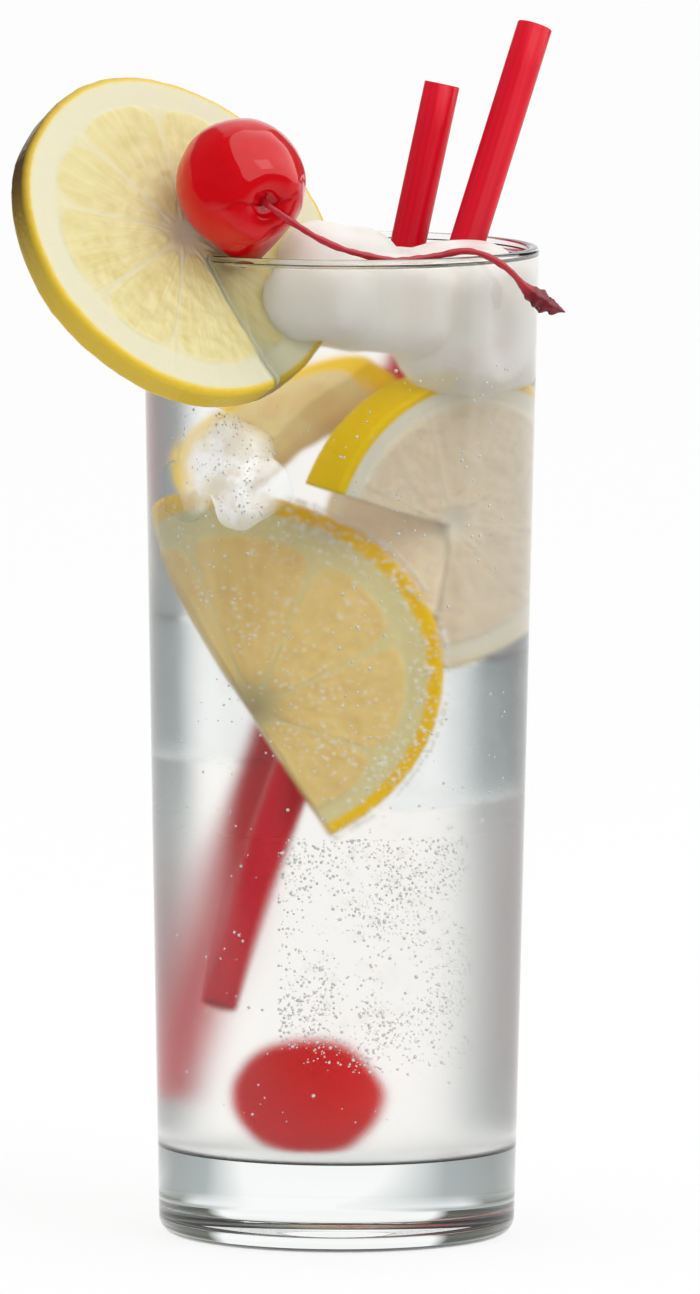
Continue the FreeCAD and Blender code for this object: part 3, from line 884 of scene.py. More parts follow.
@dataclass(frozen=True)
class LemonCut:
    """Slice of lemon, whole or part of a round, sizes in mm and angles in degrees."""

    name: str
    centre: Point
    normal: Point
    start_way: Point
    radius: float
    thickness: float
    sweep: float = 360.0
    segments: int = 9
    first_segment: float = 12.0
    rind: float = 1.4
    pith: float = 3.2
    edge: float = 0.7
    uneven: float = 0.35
    bulges: tuple[Point, ...] = ()
    skin_show: float = 0.85
    heart_stain: float = 0.0
    # Angle and width in degrees round which the rind's side is painted darkest: painted shade.
    painted_shade_at: Pair | None = None
    core_shift: float = 0.0
    bleached: Pair | None = None
    off_wall: float = 0.4
    softness: float = 1.8
    flesh_swell: float = 0.45
    core_dip: float = 0.35
    skin_swell: float = 0.15
    sac_relief: float = 0.22
    seed: float = 1.0
    steps: int = 360

    def axes(self) -> tuple[Array, Array, Array]:
        """Normal of the face, way to the start of the cut, and way across both."""
        normal = unit(self.normal)
        way = np.asarray(self.start_way, float)
        way = unit(way - normal * (way @ normal))
        return normal, way, np.cross(normal, way)

    def mesh(self, tumbler: Tumbler | None = None) -> Mesh:
        """Make the slice's closed mesh with its zones.

        Args:
            tumbler: Glass whose wall presses the slice in, if it is sunk.

        Returns:
            The slice's mesh.
        """
        whole = self.sweep >= 360.0
        normal, way, cross = self.axes()
        columns = self.steps if whole else int(self.steps * self.sweep / 360) + 1
        turns = np.radians(np.arange(columns) * self.sweep / (columns - (0 if whole else 1)))
        reach, depth, side = self._outline()
        wobble = self.uneven * (np.sin(2 * turns + self.seed) + 0.5 * np.sin(
                3 * turns + 2 * self.seed))
        degrees = np.degrees(turns)
        for middle, height, width in self.bulges:
            away = (degrees - middle + 180) % 360 - 180
            wobble = wobble + height * np.exp(-((away / width) ** 2))
        wobble += 0.12 * lumps(np.stack([np.cos(turns), np.sin(turns), 0 * turns], 1) * 27, 3.0, 9)
        grow = 1 + wobble[None, :] * (reach[:, None] / self.radius) ** 3 / self.radius
        radii = reach[:, None] * grow
        flesh, skins = self._flesh(reach[:, None] + 0 * turns, turns[None, :] + 0 * radii)
        heart = np.exp(-((reach[:, None] / 1.5) ** 2)) + 0 * radii
        bulge = self.flesh_swell * flesh - self.core_dip * heart + self.skin_swell * skins
        height = depth[:, None] + side[:, None] * bulge
        shift = self.core_shift * (1 - reach / self.radius)
        points = (np.asarray(self.centre) + (radii * np.cos(turns) + shift[:, None])[:, :,
                None] * way + (radii * np.sin(turns))[:, :, None] * cross + height[:, :,
                None] * normal)
        lie = lumps(points.reshape(-1, 3), 2.2, self.seed).reshape(radii.shape)
        points = points + (side[:, None] * flesh * lie * self.sac_relief)[:, :, None] * normal
        if tumbler is not None:
            room = tumbler.inner(points[:, :, 2]) - self.off_wall
            away = np.hypot(points[:, :, 0], points[:, :, 1])
            points[:, :, :2] *= np.minimum(1, room / np.maximum(away, 1e-6))[:, :, None]
        rind = ease(self.radius - self.rind - 0.35, self.radius - self.rind + 0.25, reach)
        on_side = np.abs(side) < 0.5
        # Painted shade: the "shade" zone is the rind's side, and where an angle is given it is
        # darkest round that angle.
        shade = on_side.astype(float)
        shade = np.convolve(np.pad(shade, 2, "edge"), np.ones(5) / 5, "valid")
        painted_shade = 1 + 0 * turns
        if self.painted_shade_at is not None:
            painted_shade = 0.22 + 0.78 * self._zone_at(degrees, self.painted_shade_at)
        skin = 1 + 0 * turns
        if self.bleached is not None:
            skin = 1 - 0.9 * self._zone_at(degrees, self.bleached)
        stain = self.heart_stain * np.exp(-((reach[:, None] / 4.0) ** 2)) + 0 * radii
        layers = {"flesh": flesh, "rind": rind[:, None] * skin[None, :],
            "shade": shade[:, None] * painted_shade[None, :], "heart": np.clip(stain, 0, 1)}
        around_count = 62 * self.sweep / 360
        u = np.arange(columns + 1) / columns * around_count
        v = reach / 5.5 + np.where(depth < depth[0] - self.thickness / 2, 20.0, 0.0)
        grid = Grid(points, whole, u, v, layers, caps=not whole)
        return grid.mesh(self.name)

    @staticmethod
    def _zone_at(degrees: Array, spot: Pair) -> Array:
        """Soft weight round one angle of the slice."""
        away = (degrees - spot[0] + 180) % 360 - 180
        return np.exp(-((away / spot[1]) ** 2))

    def _outline(self) -> tuple[Array, Array, Array]:
        """Draw half a section, from the middle of the face round to that of the back.

        Returns:
            Distance from the middle, depth, and share of the face (1) or back (-1).
        """
        flat = np.linspace(0.0, self.radius - self.edge, 78)
        bend = np.radians(np.linspace(90, 0, 6)[1:])
        round_reach = self.radius - self.edge + self.edge * np.cos(bend)
        round_depth = -self.edge + self.edge * np.sin(bend)
        side_depth = np.linspace(-self.edge, -self.thickness + self.edge, 9)[1:-1]
        reach = np.concatenate([flat, round_reach, np.full(7, self.radius)])
        depth = np.concatenate([0 * flat, round_depth, side_depth])
        side = np.concatenate([np.ones(len(flat)), np.linspace(0.8, 0.1, 5), np.zeros(7)])
        back_reach = np.concatenate([round_reach[::-1], flat[::-1]])
        back_depth = -self.thickness - np.concatenate([round_depth[::-1], 0 * flat])
        back_side = -np.concatenate([np.linspace(0.1, 0.8, 5), np.ones(len(flat))])
        return (np.concatenate([reach, back_reach]), np.concatenate([depth, back_depth]),
            np.concatenate([side, back_side]))

    def _flesh(self, reach: Array, turns: Array) -> tuple[Array, Array]:
        """Find the juice segments and the thin skins between them.

        Args:
            reach: Distance of each point from the middle of the slice.
            turns: Its angle in radians.

        Returns:
            A mask of the segments and one of the skins.
        """
        size = 360.0 / self.segments
        angles = np.degrees(turns) - self.first_segment
        number = np.floor(angles / size)
        jitter = 2.4 * np.sin(number * 2.7 + self.seed)
        after = 2.4 * np.sin((number + 1) * 2.7 + self.seed)
        from_start = np.radians(angles - number * size - jitter)
        to_end = np.radians((number + 1) * size + after - angles)
        limit = self.radius - self.rind - self.pith
        gaps = np.stack([reach * np.sin(np.clip(from_start, 0, 1.5)),
                reach * np.sin(np.clip(to_end, 0, 1.5)), limit - reach])
        rounded = -self.softness * np.log(np.exp(-gaps / self.softness).sum(0))
        flesh = ease(-0.35, 0.35, rounded)
        within = ease(-0.3, 0.5, limit - reach) * ease(1.0, 3.5, reach)
        flesh = np.maximum(flesh, (1 - self.skin_show) * within)
        nearest = np.minimum(gaps[0], gaps[1])
        membrane = np.exp(-((nearest / 0.35) ** 2)) * ease(1.5, 4.0, reach) * (gaps[2] > 0)
        return flesh, membrane


@dataclass(frozen=True)
class WheelPlace:
    """Where the lemon wheel hangs on the rim, sizes in mm and degrees."""

    azimuth: float = 221.4
    hub_above_rim: float = 3.1
    hub_outside_rim: float = 2.0
    lean: float = 32.8
    yaw: float = 6.4

    def frame(self, tumbler: Tumbler) -> tuple[Array, Array, Array]:
        """Find where the wheel hangs.

        Args:
            tumbler: Glass with the rim.

        Returns:
            Its hub, the direction that its face looks in, and the way down the face.
        """
        outward = azimuth_point(self.azimuth, 1, 0)
        along = azimuth_point(self.azimuth + 90, 1, 0)
        lean, yaw = math.radians(self.lean), math.radians(self.yaw)
        up = np.array([0.0, 0.0, 1.0])
        level = along * math.cos(yaw) + outward * math.sin(yaw)
        normal = level * math.cos(lean) + up * math.sin(lean)
        down = unit(along * math.sin(lean) - up * math.cos(lean))
        down = unit(down - normal * (down @ normal))
        wall_middle = (tumbler.rim_diameter - tumbler.wall) / 2
        hub = azimuth_point(self.azimuth, wall_middle + self.hub_outside_rim,
            tumbler.height + self.hub_above_rim)
        return hub, normal, down


@dataclass(frozen=True)
class LemonGarnish:
    """Whole lemon wheel, slit by the glass's wall, sizes in mm."""

    tumbler: Tumbler
    seat: WheelPlace = WheelPlace()
    radius: float = 27.0
    thickness: float = 5.0
    slit_gap: float = -0.5
    slit_depth: float = 40.0

    def build(self) -> Piece:
        """Make the wheel, cut its slit and dress it."""
        hub, normal, down = self.seat.frame(self.tumbler)
        # The wheel's rind side is painted with shade, darkest on its left, round 234 degrees.
        cut = LemonCut("lemon_wheel_slice", tuple(hub), tuple(normal), tuple(down), self.radius,
            self.thickness, uneven=0.35, bulges=((185.0, 1.0, 30.0), (240.0, 0.7, 22.0),
                (285.0, 1.1, 28.0), (335.0, 0.6, 26.0)), painted_shade_at=(234.0, 38.0), skin_show=0.6,
            edge=1.1, rind=0.95, pith=3.9)
        blank = cut.mesh()
        piece, slit = in_scene("wheel_blank", blank), self._slit()
        saw = piece.modifiers.new("slit", "BOOLEAN")
        saw.object, saw.operation, saw.solver = slit, "DIFFERENCE", "EXACT"
        final = baked(piece, "lemon_wheel_slice")
        bpy.data.objects.remove(slit)
        blank.name = "wheel_blank"
        return place(final, FRESH_LEMON.build(), ["lemon_wheel"])

    def _slit(self) -> Piece:
        """Ring a little thicker than the wall, up to just over the rim."""
        glass, gap = self.tumbler, self.slit_gap
        low, top = glass.height - self.slit_depth, glass.height + gap
        line = [(glass.inner(low) - gap, low), (glass.outer(low) + gap, low),
            (glass.outer(top) + gap, top), (glass.inner(top) - gap, top),
            (glass.inner(low) - gap, low)]
        return in_scene("slit_ring", lathe(line, glass.steps).mesh("slit_ring"))


HALF_SLICE = LemonCut("sunk_half_slice", centre=(-14.4, -10.6, 88.2), normal=(0.08, -0.98, 0.16),
    start_way=(0.47, 0.0, -0.88), radius=28.0, thickness=3.0, sweep=180.0, segments=8,
    first_segment=-12.0, rind=2.2, pith=3.4, heart_stain=0.55, core_shift=6.5, seed=2.3)
STANDING_SLICE = LemonCut("sunk_standing_slice", centre=(13.7, -3.6, 110.8),
    normal=(0.75, -0.62, -0.2), start_way=(-0.15, 0.124, -0.96), radius=23.8, thickness=6.5,
    sweep=255.0, first_segment=5.0, bleached=(35.0, 62.0), skin_show=0.2, seed=4.1, pith=2.8)
SMALL_SLICE = LemonCut("sunk_small_slice", centre=(13.7, -1.5, 111.4), normal=(0.0, -0.97, 0.25),
    start_way=(-1.0, 0.0, 0.42), radius=15.0, thickness=2.4, sweep=104.0, rind=0.8, pith=1.0,
    bleached=(52.0, 400.0), skin_show=0.2, seed=7.4)
LEANING_SLICE = LemonCut("sunk_leaning_slice", centre=(-7.6, -2.0, 125.0),
    normal=(-0.66, -0.35, 0.67), start_way=(0.71, 0.0, 0.7), radius=15.5, thickness=5.0,
    sweep=180.0, first_segment=8.0, rind=3.0, pith=1.6, seed=6.6)


# ---- cherries


@dataclass(frozen=True)
class Cherry:
    """Cherry drawn out to a blunt nose, sizes in mm and angles in degrees."""

    name: str
    centre: Point
    nose_way: Point
    radius: float = 10.0
    nose_drop: float = 3.1
    nose_radius: float = 1.7
    squash: float = 1.0
    dimple_azimuth: float = 297.5
    dimple_elevation: float = -16.5
    dimple_depth: float = 1.9
    dimple_width: float = 2.7
    creases: float = 0.14
    wrinkles: float = 0.22
    shoulder: float = 0.35
    seed: float = 3.0

    def dimple(self) -> Array:
        """Direction from the middle of the cherry to its dimple."""
        rise = math.radians(self.dimple_elevation)
        return azimuth_point(self.dimple_azimuth, math.cos(rise), math.sin(rise))

    def mesh(self) -> Mesh:
        """Make the skin, with its dimple and shallow creases, and painted shade in both."""
        rows, columns = 150, 200
        tips = np.linspace(0, math.pi, rows)
        turns = turns_of(columns)
        nose = unit(self.nose_way)
        side = unit(np.cross(nose, [0.3, 1.0, 0.1]))
        across = np.cross(nose, side)
        ring = circle(turns, side, across)
        ways = np.cos(tips)[:, None, None] * nose + np.sin(tips)[:, None, None] * ring
        radii = self._reach(tips)[:, None] + 0 * turns
        flat = ways.reshape(-1, 3)
        away = np.degrees(np.arccos(np.clip(flat @ self.dimple(), -1, 1)))
        width = math.degrees(self.dimple_width / self.radius)
        hollow = self.dimple_depth * np.exp(-((away / width) ** 2))
        shoulder = self.shoulder * np.exp(-(((away - 2.1 * width) / (0.9 * width)) ** 2))
        wrinkle = lumps(flat * self.radius, 6.0, self.seed, 2)
        line = np.abs(lumps(flat * self.radius, 9.0, self.seed + 5, 2))
        crease = np.exp(-((line / 0.08) ** 2)) * np.exp(-((away / 42.0) ** 2))
        reach = radii.ravel() - hollow + shoulder + self.wrinkles * wrinkle - self.creases * crease
        points = flat * reach[:, None]
        points[:, 2] *= self.squash
        points = points + np.asarray(self.centre)
        # Painted shade: darker in the creases and round the dimple.
        dark = 0.5 * crease + 0.55 * np.exp(-((away / (0.8 * width)) ** 2))
        layers = {"crease": dark.reshape(rows, columns)}
        return Grid(points.reshape(rows, columns, 3), layers=layers).mesh(self.name)

    def _reach(self, tips: Array) -> Array:
        """Find how far the skin is from the middle of the cherry.

        Args:
            tips: Angles from the axis of the nose.

        Returns:
            The distances.
        """
        depth = self.radius + self.nose_drop - self.nose_radius
        on_ball = math.acos((self.radius - self.nose_radius) / depth)
        small = self.nose_radius
        on_nose = math.atan2(small * math.sin(on_ball), depth + small * math.cos(on_ball))
        flank = self.radius / np.cos(np.clip(on_ball - tips, 0, 1.4))
        across = np.minimum(depth * np.sin(tips), small)
        nose = depth * np.cos(tips) + np.sqrt(small**2 - across**2)
        reach = np.where(tips < on_nose, nose, flank)
        reach = np.where(tips > on_ball, self.radius, reach)
        kernel = np.ones(5) / 5
        return np.convolve(np.pad(reach, 2, "reflect"), kernel, "valid")


# ---- stem


@dataclass(frozen=True)
class Stem:
    """Bent cherry stalk that ends in a woody knot outside the rim, sizes in mm."""

    tumbler: Tumbler
    cherry: Cherry
    radius: float = 0.5
    route: tuple[Point, ...] = ((264.0, 1.0, 3.2), (272.8, -1.0, 1.2), (287.4, -1.9, -0.3),
        (301.5, -1.9, 0.2), (309.6, 0.1, 0.9), (314.5, 2.2, 0.1), (321.0, 3.4, -2.2),
        (327.5, 3.7, -5.0))
    droop: Point = (0.74, 0.22, -0.64)
    knot_length: float = 7.6
    knot_radius: float = 1.3

    def points(self) -> Array:
        """Control points from inside the dimple to the knot's tip."""
        centre = np.asarray(self.cherry.centre)
        outward = self.cherry.dimple()
        rim_middle = (self.tumbler.rim_diameter - self.tumbler.wall) / 2
        rise = math.radians(-26.2)
        reach = self.cherry.radius + 1.8
        bend = azimuth_point(316.0, reach * math.cos(rise), reach * math.sin(rise))
        line = [centre + outward * (self.cherry.radius - 4.0), centre + outward * 10.6]
        line.append(centre + bend)
        for azimuth, outside, above in self.route:
            line.append(azimuth_point(azimuth, rim_middle + outside, self.tumbler.height + above))
        droop = unit(self.droop)
        line.append(line[-1] + droop * self.knot_length * 0.5)
        line.append(line[-1] + unit(droop + [0.15, 0.0, 0.25]) * self.knot_length * 0.5)
        return np.array(line)

    def build(self) -> Piece:
        """Make the stalk and its knot as one skin and dress it."""
        control = self.points()
        curve = smooth_line(control, 150)
        lengths = np.concatenate([[0], np.cumsum(np.linalg.norm(np.diff(curve, axis=0), axis=1))])
        left = lengths[-1] - lengths
        knot = ease(self.knot_length + 1.5, self.knot_length - 2.6, left)
        tip = ease(0.0, 3.6, left)
        core = self.radius * (1 + 0.10 * np.sin(lengths * 0.9) + 0.06 * np.sin(lengths * 2.3))
        radii = core + (self.knot_radius - self.radius) * knot * tip
        radii = np.maximum(radii * np.minimum(1, 0.12 + left / 1.8), 0.06)
        steps = 20
        points, turns = tube(curve, radii, steps)
        jag = lumps(points.reshape(-1, 3), 1.1, 7.0, 4).reshape(len(curve), steps)
        ways = points - curve[:, None]
        ridge = 1 + 0.06 * np.sin(turns * 5)[None, :] + (0.1 + 0.6 * knot[:, None]) * jag * 0.8
        points = curve[:, None] + ways * np.clip(ridge, 0.35, 1.7)[:, :, None]
        flat = 0 * points[:1]
        points = np.concatenate([curve[:1, None] + flat, points, curve[-1:, None] + flat])
        lengths = np.concatenate([[0], lengths, lengths[-1:]])
        woody = np.concatenate([[0], knot, [1.0]])[:, None] + 0 * points[:, :, 0]
        columns = np.arange(steps + 1) / steps
        mesh = Grid(points, u=columns, v=lengths, layers={"woody": woody}).mesh("cherry_stalk")
        return place(mesh, StemFinish().build(), ["cherry_stem"])


def smooth_line(control: Array, count: int) -> Array:
    """Draw a smooth line through control points.

    Args:
        control: Points that the line goes through.
        count: Number of points on it.

    Returns:
        Evenly spaced points.
    """
    before = control[:1] * 2 - control[1:2]
    after = control[-1:] * 2 - control[-2:-1]
    knots = np.concatenate([before, control, after])
    dense = []
    for a, b, c, d in zip(knots, knots[1:], knots[2:], knots[3:]):
        for t in np.linspace(0, 1, 24, endpoint=False):
            bend = (2 * a - 5 * b + 4 * c - d) * t**2 + (3 * b - a - 3 * c + d) * t**3
            dense.append(0.5 * (2 * b + (c - a) * t + bend))
    dense = np.array([*dense, control[-1]])
    run = np.concatenate([[0], np.cumsum(np.linalg.norm(np.diff(dense, axis=0), axis=1))])
    even = np.linspace(0, run[-1], count)
    return np.stack([np.interp(even, run, dense[:, axis]) for axis in range(3)], 1)


def tube(line: Array, radii: Array, steps: int) -> tuple[Array, Array]:
    """Put rings of points round a line, carried along without twist.

    Args:
        line: Points of the middle line.
        radii: Radius at each of them.
        steps: Points in a ring.

    Returns:
        The rings, and the angles in a ring.
    """
    ways = np.gradient(line, axis=0)
    ways /= np.linalg.norm(ways, axis=1)[:, None]
    side = unit(np.cross(ways[0], [0.2, 0.1, 1.0]))
    turns, rings = turns_of(steps), []
    for middle, way, radius in zip(line, ways, radii):
        side = unit(side - way * (side @ way))
        rings.append(middle + circle(turns, side, np.cross(way, side)) * radius)
    return np.array(rings), turns


# ---- ice


@dataclass(frozen=True)
class IceBlock:
    """Melted-round block of ice, sizes in mm and turns in degrees."""

    name: str
    centre: Point
    size: Point
    turn: Point
    rounding: float = 3.5
    melt: float = 0.5
    seed: float = 1.0
    off_wall: float = 0.7

    def mesh(self, tumbler: Tumbler) -> Mesh:
        """Make the block, kept inside the wall.

        Args:
            tumbler: Glass that it lies in.

        Returns:
            The block's mesh.
        """
        work = bmesh.new()
        bmesh.ops.create_cube(work, size=2.0)
        bmesh.ops.subdivide_edges(work, edges=work.edges, cuts=22, use_grid_fill=True)
        mesh = bpy.data.meshes.new(self.name)
        work.to_mesh(mesh)
        work.free()
        points = np.zeros(len(mesh.vertices) * 3)
        mesh.vertices.foreach_get("co", points)
        points = points.reshape(-1, 3)
        half = np.array(self.size) / 2
        core = np.maximum(half - self.rounding, 0.2)
        spot = points * half
        inner = np.clip(spot, -core, core)
        away = spot - inner
        length = np.linalg.norm(away, axis=1)[:, None]
        points = inner + away / np.maximum(length, 1e-6) * self.rounding
        ways = points / np.linalg.norm(points, axis=1)[:, None]
        points = points + ways * (self.melt * lumps(points, 7.0, self.seed, 2))[:, None]
        spin = Matrix.Identity(3)
        for axis, angle in zip("ZYX", self.turn):
            spin = spin @ Matrix.Rotation(math.radians(angle), 3, axis)
        points = points @ np.array(spin).T + np.array(self.centre)
        reach = np.hypot(points[:, 0], points[:, 1])
        limit = tumbler.inner(points[:, 2]) - self.off_wall
        points[:, :2] *= np.minimum(1, limit / reach)[:, None]
        mesh.vertices.foreach_set("co", (points * MM).ravel())
        close_mesh(mesh)
        return mesh


@dataclass(frozen=True)
class IceHeap:
    """Blocks frozen together into one lump, sizes in mm."""

    name: str
    blocks: tuple[IceBlock, ...]
    replaced: tuple[str, ...]
    grain: float = 0.5
    smoothing: int = 14

    def build(self, tumbler: Tumbler, material: Material) -> Piece:
        """Join the blocks, melt the seams between them and dress the lump.

        Args:
            tumbler: Glass that they lie in.
            material: Their ice.

        Returns:
            The lump's object.
        """
        work = bmesh.new()
        for block in self.blocks:
            work.from_mesh(block.mesh(tumbler))
        joined = bpy.data.meshes.new("heap_blank")
        work.to_mesh(joined)
        work.free()
        piece = in_scene("heap_blank", joined)
        melt = piece.modifiers.new("melt", "REMESH")
        melt.mode = "VOXEL"
        melt.voxel_size = self.grain * MM
        piece.modifiers.new("soften", "SMOOTH").iterations = self.smoothing
        mesh = baked(piece, self.name)
        close_mesh(mesh)
        return place(mesh, material, self.replaced)


PROUD_ICE = IceHeap("ice_heap",
    (IceBlock("mound", (-0.8, -12.0, 147.9), (19.0, 15.0, 18.5), (-8, 11, 0), 6.0, seed=2.0),
        IceBlock("slab", (17.6, -4.0, 142.4), (20.5, 27.0, 22.4), (-6, 0, 0), 7.0, seed=5.0),
        IceBlock("bridge", (5.5, -9.5, 145.6), (19.0, 25.0, 15.0), (5, 4, 0), 5.0, seed=3.0),
        IceBlock("front", (-3.0, -20.0, 146.0), (16.0, 10.0, 12.0), (-8, 0, 0), 4.5, seed=9.0)),
    ("ice_middle", "ice_right"))
FROSTED_ICE_HEAP = IceHeap("ice_frosted",
    (IceBlock("upper", (-17.0, -15.5, 122.0), (15.0, 11.0, 13.0), (35, 20, 8), 4.0, 1.0, 8.0),
        IceBlock("lower", (-12.5, -17.5, 116.5), (11.0, 8.0, 9.0), (20, -25, 0), 3.0, 1.0, 3.0),
        IceBlock("outer", (-21.5, -11.0, 116.0), (10.0, 9.0, 9.0), (50, 0, 10), 3.0, 1.0, 5.0)),
    (), smoothing=5)
DEEP_ICE = (IceBlock("ice_sunk_right", (13.5, 6.0, 78.0), (18.0, 18.0, 22.0), (-20.0, -8.0, 5.0),
        seed=11.0), IceBlock("ice_sunk_back", (-12.0, 14.0, 84.0), (16.0, 14.0, 22.0),
        (35.0, 6.0, -6.0), seed=14.0))


# ---- bubbles


@dataclass(frozen=True)
class BubbleCloud:
    """Gas bubbles spread over a carrier sheet, sizes in mm."""

    name: str
    density_mm2: float
    smallest: float
    largest: float
    seed: int
    clump_mm: float = 6.0
    clump_level: float = 0.5

    def tree(self, material: Material) -> bpy.types.GeometryNodeTree:
        """Build the node tree that strews bubbles over the sheet.

        Args:
            material: Their gas.

        Returns:
            The tree, with named inputs for its sizes.
        """
        tree = bpy.data.node_groups.new(self.name, "GeometryNodeTree")
        add = partial(add_node, tree)
        face = tree.interface
        face.new_socket("Sheet", in_out="INPUT", socket_type="NodeSocketGeometry")
        for label in ("Density", "Smallest", "Largest", "Clump Size", "Clump Level"):
            face.new_socket(label, in_out="INPUT", socket_type="NodeSocketFloat")
        face.new_socket("Bubbles", in_out="OUTPUT", socket_type="NodeSocketGeometry")
        given = add("NodeGroupInput").outputs
        clumps = add("TexNoise", {"Scale": given["Clump Size"], "Detail": 2.0, "Roughness": 0.7})
        share = add("MapRange", {"Value": clumps, "From Min": given["Clump Level"],
                "From Max": 0.72, "To Max": given["Density"]})
        spread = add("GeometryNodeDistributePointsOnFaces",
            {"Mesh": given["Sheet"], "Density": share, "Seed": self.seed})
        ball = add("GeometryNodeMeshUVSphere", {"Segments": 8, "Rings": 6, "Radius": 1.0})
        soft = add("GeometryNodeSetShadeSmooth", {"Geometry": ball.outputs["Mesh"],
                "Shade Smooth": True})
        chance = add("FunctionNodeRandomValue", {2: 0.0, 3: 1.0, "Seed": self.seed + 1},
            {"data_type": "FLOAT"})
        skewed = add("Math", {0: chance.outputs[1], 1: 2.5}, {"operation": "POWER"})
        size = add("MapRange", {"Value": skewed, "To Min": given["Smallest"],
                "To Max": given["Largest"]})
        beads = add("GeometryNodeInstanceOnPoints", {"Points": spread.outputs["Points"],
                "Instance": soft, "Scale": size})
        real = add("GeometryNodeRealizeInstances", {"Geometry": beads})
        dressed = add("GeometryNodeSetMaterial", {"Geometry": real, "Material": material})
        add("NodeGroupOutput", {0: dressed})
        return tree

    def build(self, sheet: Mesh, material: Material) -> Piece:
        """Strew the bubbles and make them one piece.

        Args:
            sheet: Carrier that they lie on; it doesn't stay in the scene.
            material: Their gas.

        Returns:
            The bubbles' object.
        """
        carrier = in_scene(f"{self.name}_sheet", sheet)
        modifier = carrier.modifiers.new("bubbles", "NODES")
        modifier.node_group = self.tree(material)
        values = {"Density": self.density_mm2 / MM**2, "Smallest": self.smallest / 2 * MM,
            "Largest": self.largest / 2 * MM, "Clump Size": 1 / (self.clump_mm * MM),
            "Clump Level": self.clump_level}
        for item in modifier.node_group.interface.items_tree:
            if item.in_out == "INPUT" and item.name in values:
                modifier[item.identifier] = values[item.name]
        return place(baked(carrier, self.name), material)


def sheet_mesh(name: str, points: Array) -> Mesh:
    """Make an open sheet of quads.

    Args:
        name: Name of the mesh.
        points: Rows and columns of points in mm.

    Returns:
        The new mesh, in metres.
    """
    rows, columns = points.shape[:2]
    faces = [[i * columns + j, (i + 1) * columns + j, (i + 1) * columns + j + 1,
            i * columns + j + 1] for i in range(rows - 1) for j in range(columns - 1)]
    mesh = bpy.data.meshes.new(name)
    mesh.from_pydata((points.reshape(-1, 3) * MM).tolist(), [], faces)
    return mesh


@dataclass(frozen=True)
class Fizz:
    """All the bubbles: on the wall, in the drink and along the sunk lemon, sizes in mm."""

    tumbler: Tumbler
    off_wall: float = 0.75
    off_face: float = 1.2
    rim_reach: tuple[float, ...] = (-4.0, -1.0, 0.6, 0.8)
    rim_lift: tuple[float, ...] = (0.7, 0.6, 0.2, -2.5)

    def wall_sheet(self, name: str, azimuths: Pair, heights: Pair) -> Mesh:
        """Make a patch just inside the wall.

        Args:
            name: Name of the mesh.
            azimuths: First and last azimuth in degrees.
            heights: Lowest and highest point.

        Returns:
            The sheet.
        """
        turns = np.radians(np.linspace(*azimuths, 40))
        rises = np.linspace(*heights, 12)
        radii = self.tumbler.inner(rises) - self.off_wall
        points = np.zeros((12, 40, 3))
        points[:, :, 0] = radii[:, None] * np.cos(turns)
        points[:, :, 1] = radii[:, None] * np.sin(turns)
        points[:, :, 2] = rises[:, None]
        return sheet_mesh(name, points)

    def rind_sheet(self, cut: LemonCut, first: float, last: float) -> Mesh:
        """Make a strip along the outer edge of a slice's face.

        Args:
            cut: The slice.
            first: Angle of the slice where the strip begins, in degrees.
            last: Angle where it ends.

        Returns:
            The sheet.
        """
        normal, way, cross = cut.axes()
        ring = circle(np.radians(np.linspace(first, last, 60)), way, cross)
        reach = cut.radius + np.array(self.rim_reach)
        lift = np.array(self.rim_lift)[:, None, None] * normal
        points = np.asarray(cut.centre) + reach[:, None, None] * ring + lift
        return sheet_mesh(f"{cut.name}_rim", points)

    def face_sheet(self, cut: LemonCut) -> Mesh:
        """Make a sheet just in front of a slice's face.

        Args:
            cut: The slice.

        Returns:
            The sheet.
        """
        normal, way, cross = cut.axes()
        ring = circle(np.radians(np.linspace(4, cut.sweep - 4, 40)), way, cross)
        reach = np.linspace(0.1, 0.95, 10) * cut.radius
        points = np.asarray(cut.centre) + reach[:, None, None] * ring + self.off_face * normal
        return sheet_mesh(f"{cut.name}_front", points)

    def upright_sheet(self, name: str, low: Point, high: Point) -> Mesh:
        """Make an upright sheet inside the drink.

        Args:
            name: Name of the mesh.
            low: Its lower corner.
            high: The corner across from it.

        Returns:
            The sheet.
        """
        start, run = np.array(low), np.array(high) - low
        share = np.linspace(0, 1, 8)
        points = np.zeros((8, 8, 3))
        points[:, :, :2] = start[:2] + share[None, :, None] * run[:2]
        points[:, :, 2] = start[2] + share[:, None] * run[2]
        return sheet_mesh(name, points)

    def build(self) -> None:
        """Make every cloud of bubbles."""
        wall, gas = self.wall_sheet, BubbleFinish().build()
        middle = self.upright_sheet("middle", (-4.0, -14.0, 34.0), (20.0, -8.0, 66.0))
        for sheet, *cloud in ((wall("front", (250.0, 322.0), (28.0, 64.0)), "front", 5.2, 0.2,
                0.54, 5, 9.0, 0.44), (self.face_sheet(HALF_SLICE), "face", 2.4, 0.2, 0.5, 27, 5.0,
                0.46), (wall("wall", (205.0, 335.0), (20.0, 136.0)), "wall", 0.35, 0.2, 0.6, 9,
                9.0, 0.45), (wall("frost", (212.0, 248.0), (113.0, 129.0)), "frost", 3.0, 0.15,
                0.45, 21, 4.0, 0.42), (self.rind_sheet(HALF_SLICE, 0.0, 150.0), "rind", 3.6, 0.25,
                0.6, 13, 5.0, 0.40), (middle, "middle", 0.5, 0.3, 0.8, 17, 8.0, 0.48)):
            BubbleCloud(f"bubbles_{cloud[0]}", *cloud[1:]).build(sheet, gas)


# ---- studio


def seen_through(add: Adder) -> Node:
    """Find rays that show the room through the glass, and don't light sunk things.

    Args:
        add: Adds a node to the material or world.

    Returns:
        Node that gives 1 for such a ray, and 0 otherwise.
    """
    rays = add("LightPath").outputs
    plain = add("Math", {0: rays["Diffuse Depth"], 1: 0.5}, {"operation": "LESS_THAN"})
    return add("Math", {0: rays["Is Transmission Ray"], 1: plain}, {"operation": "MULTIPLY"})


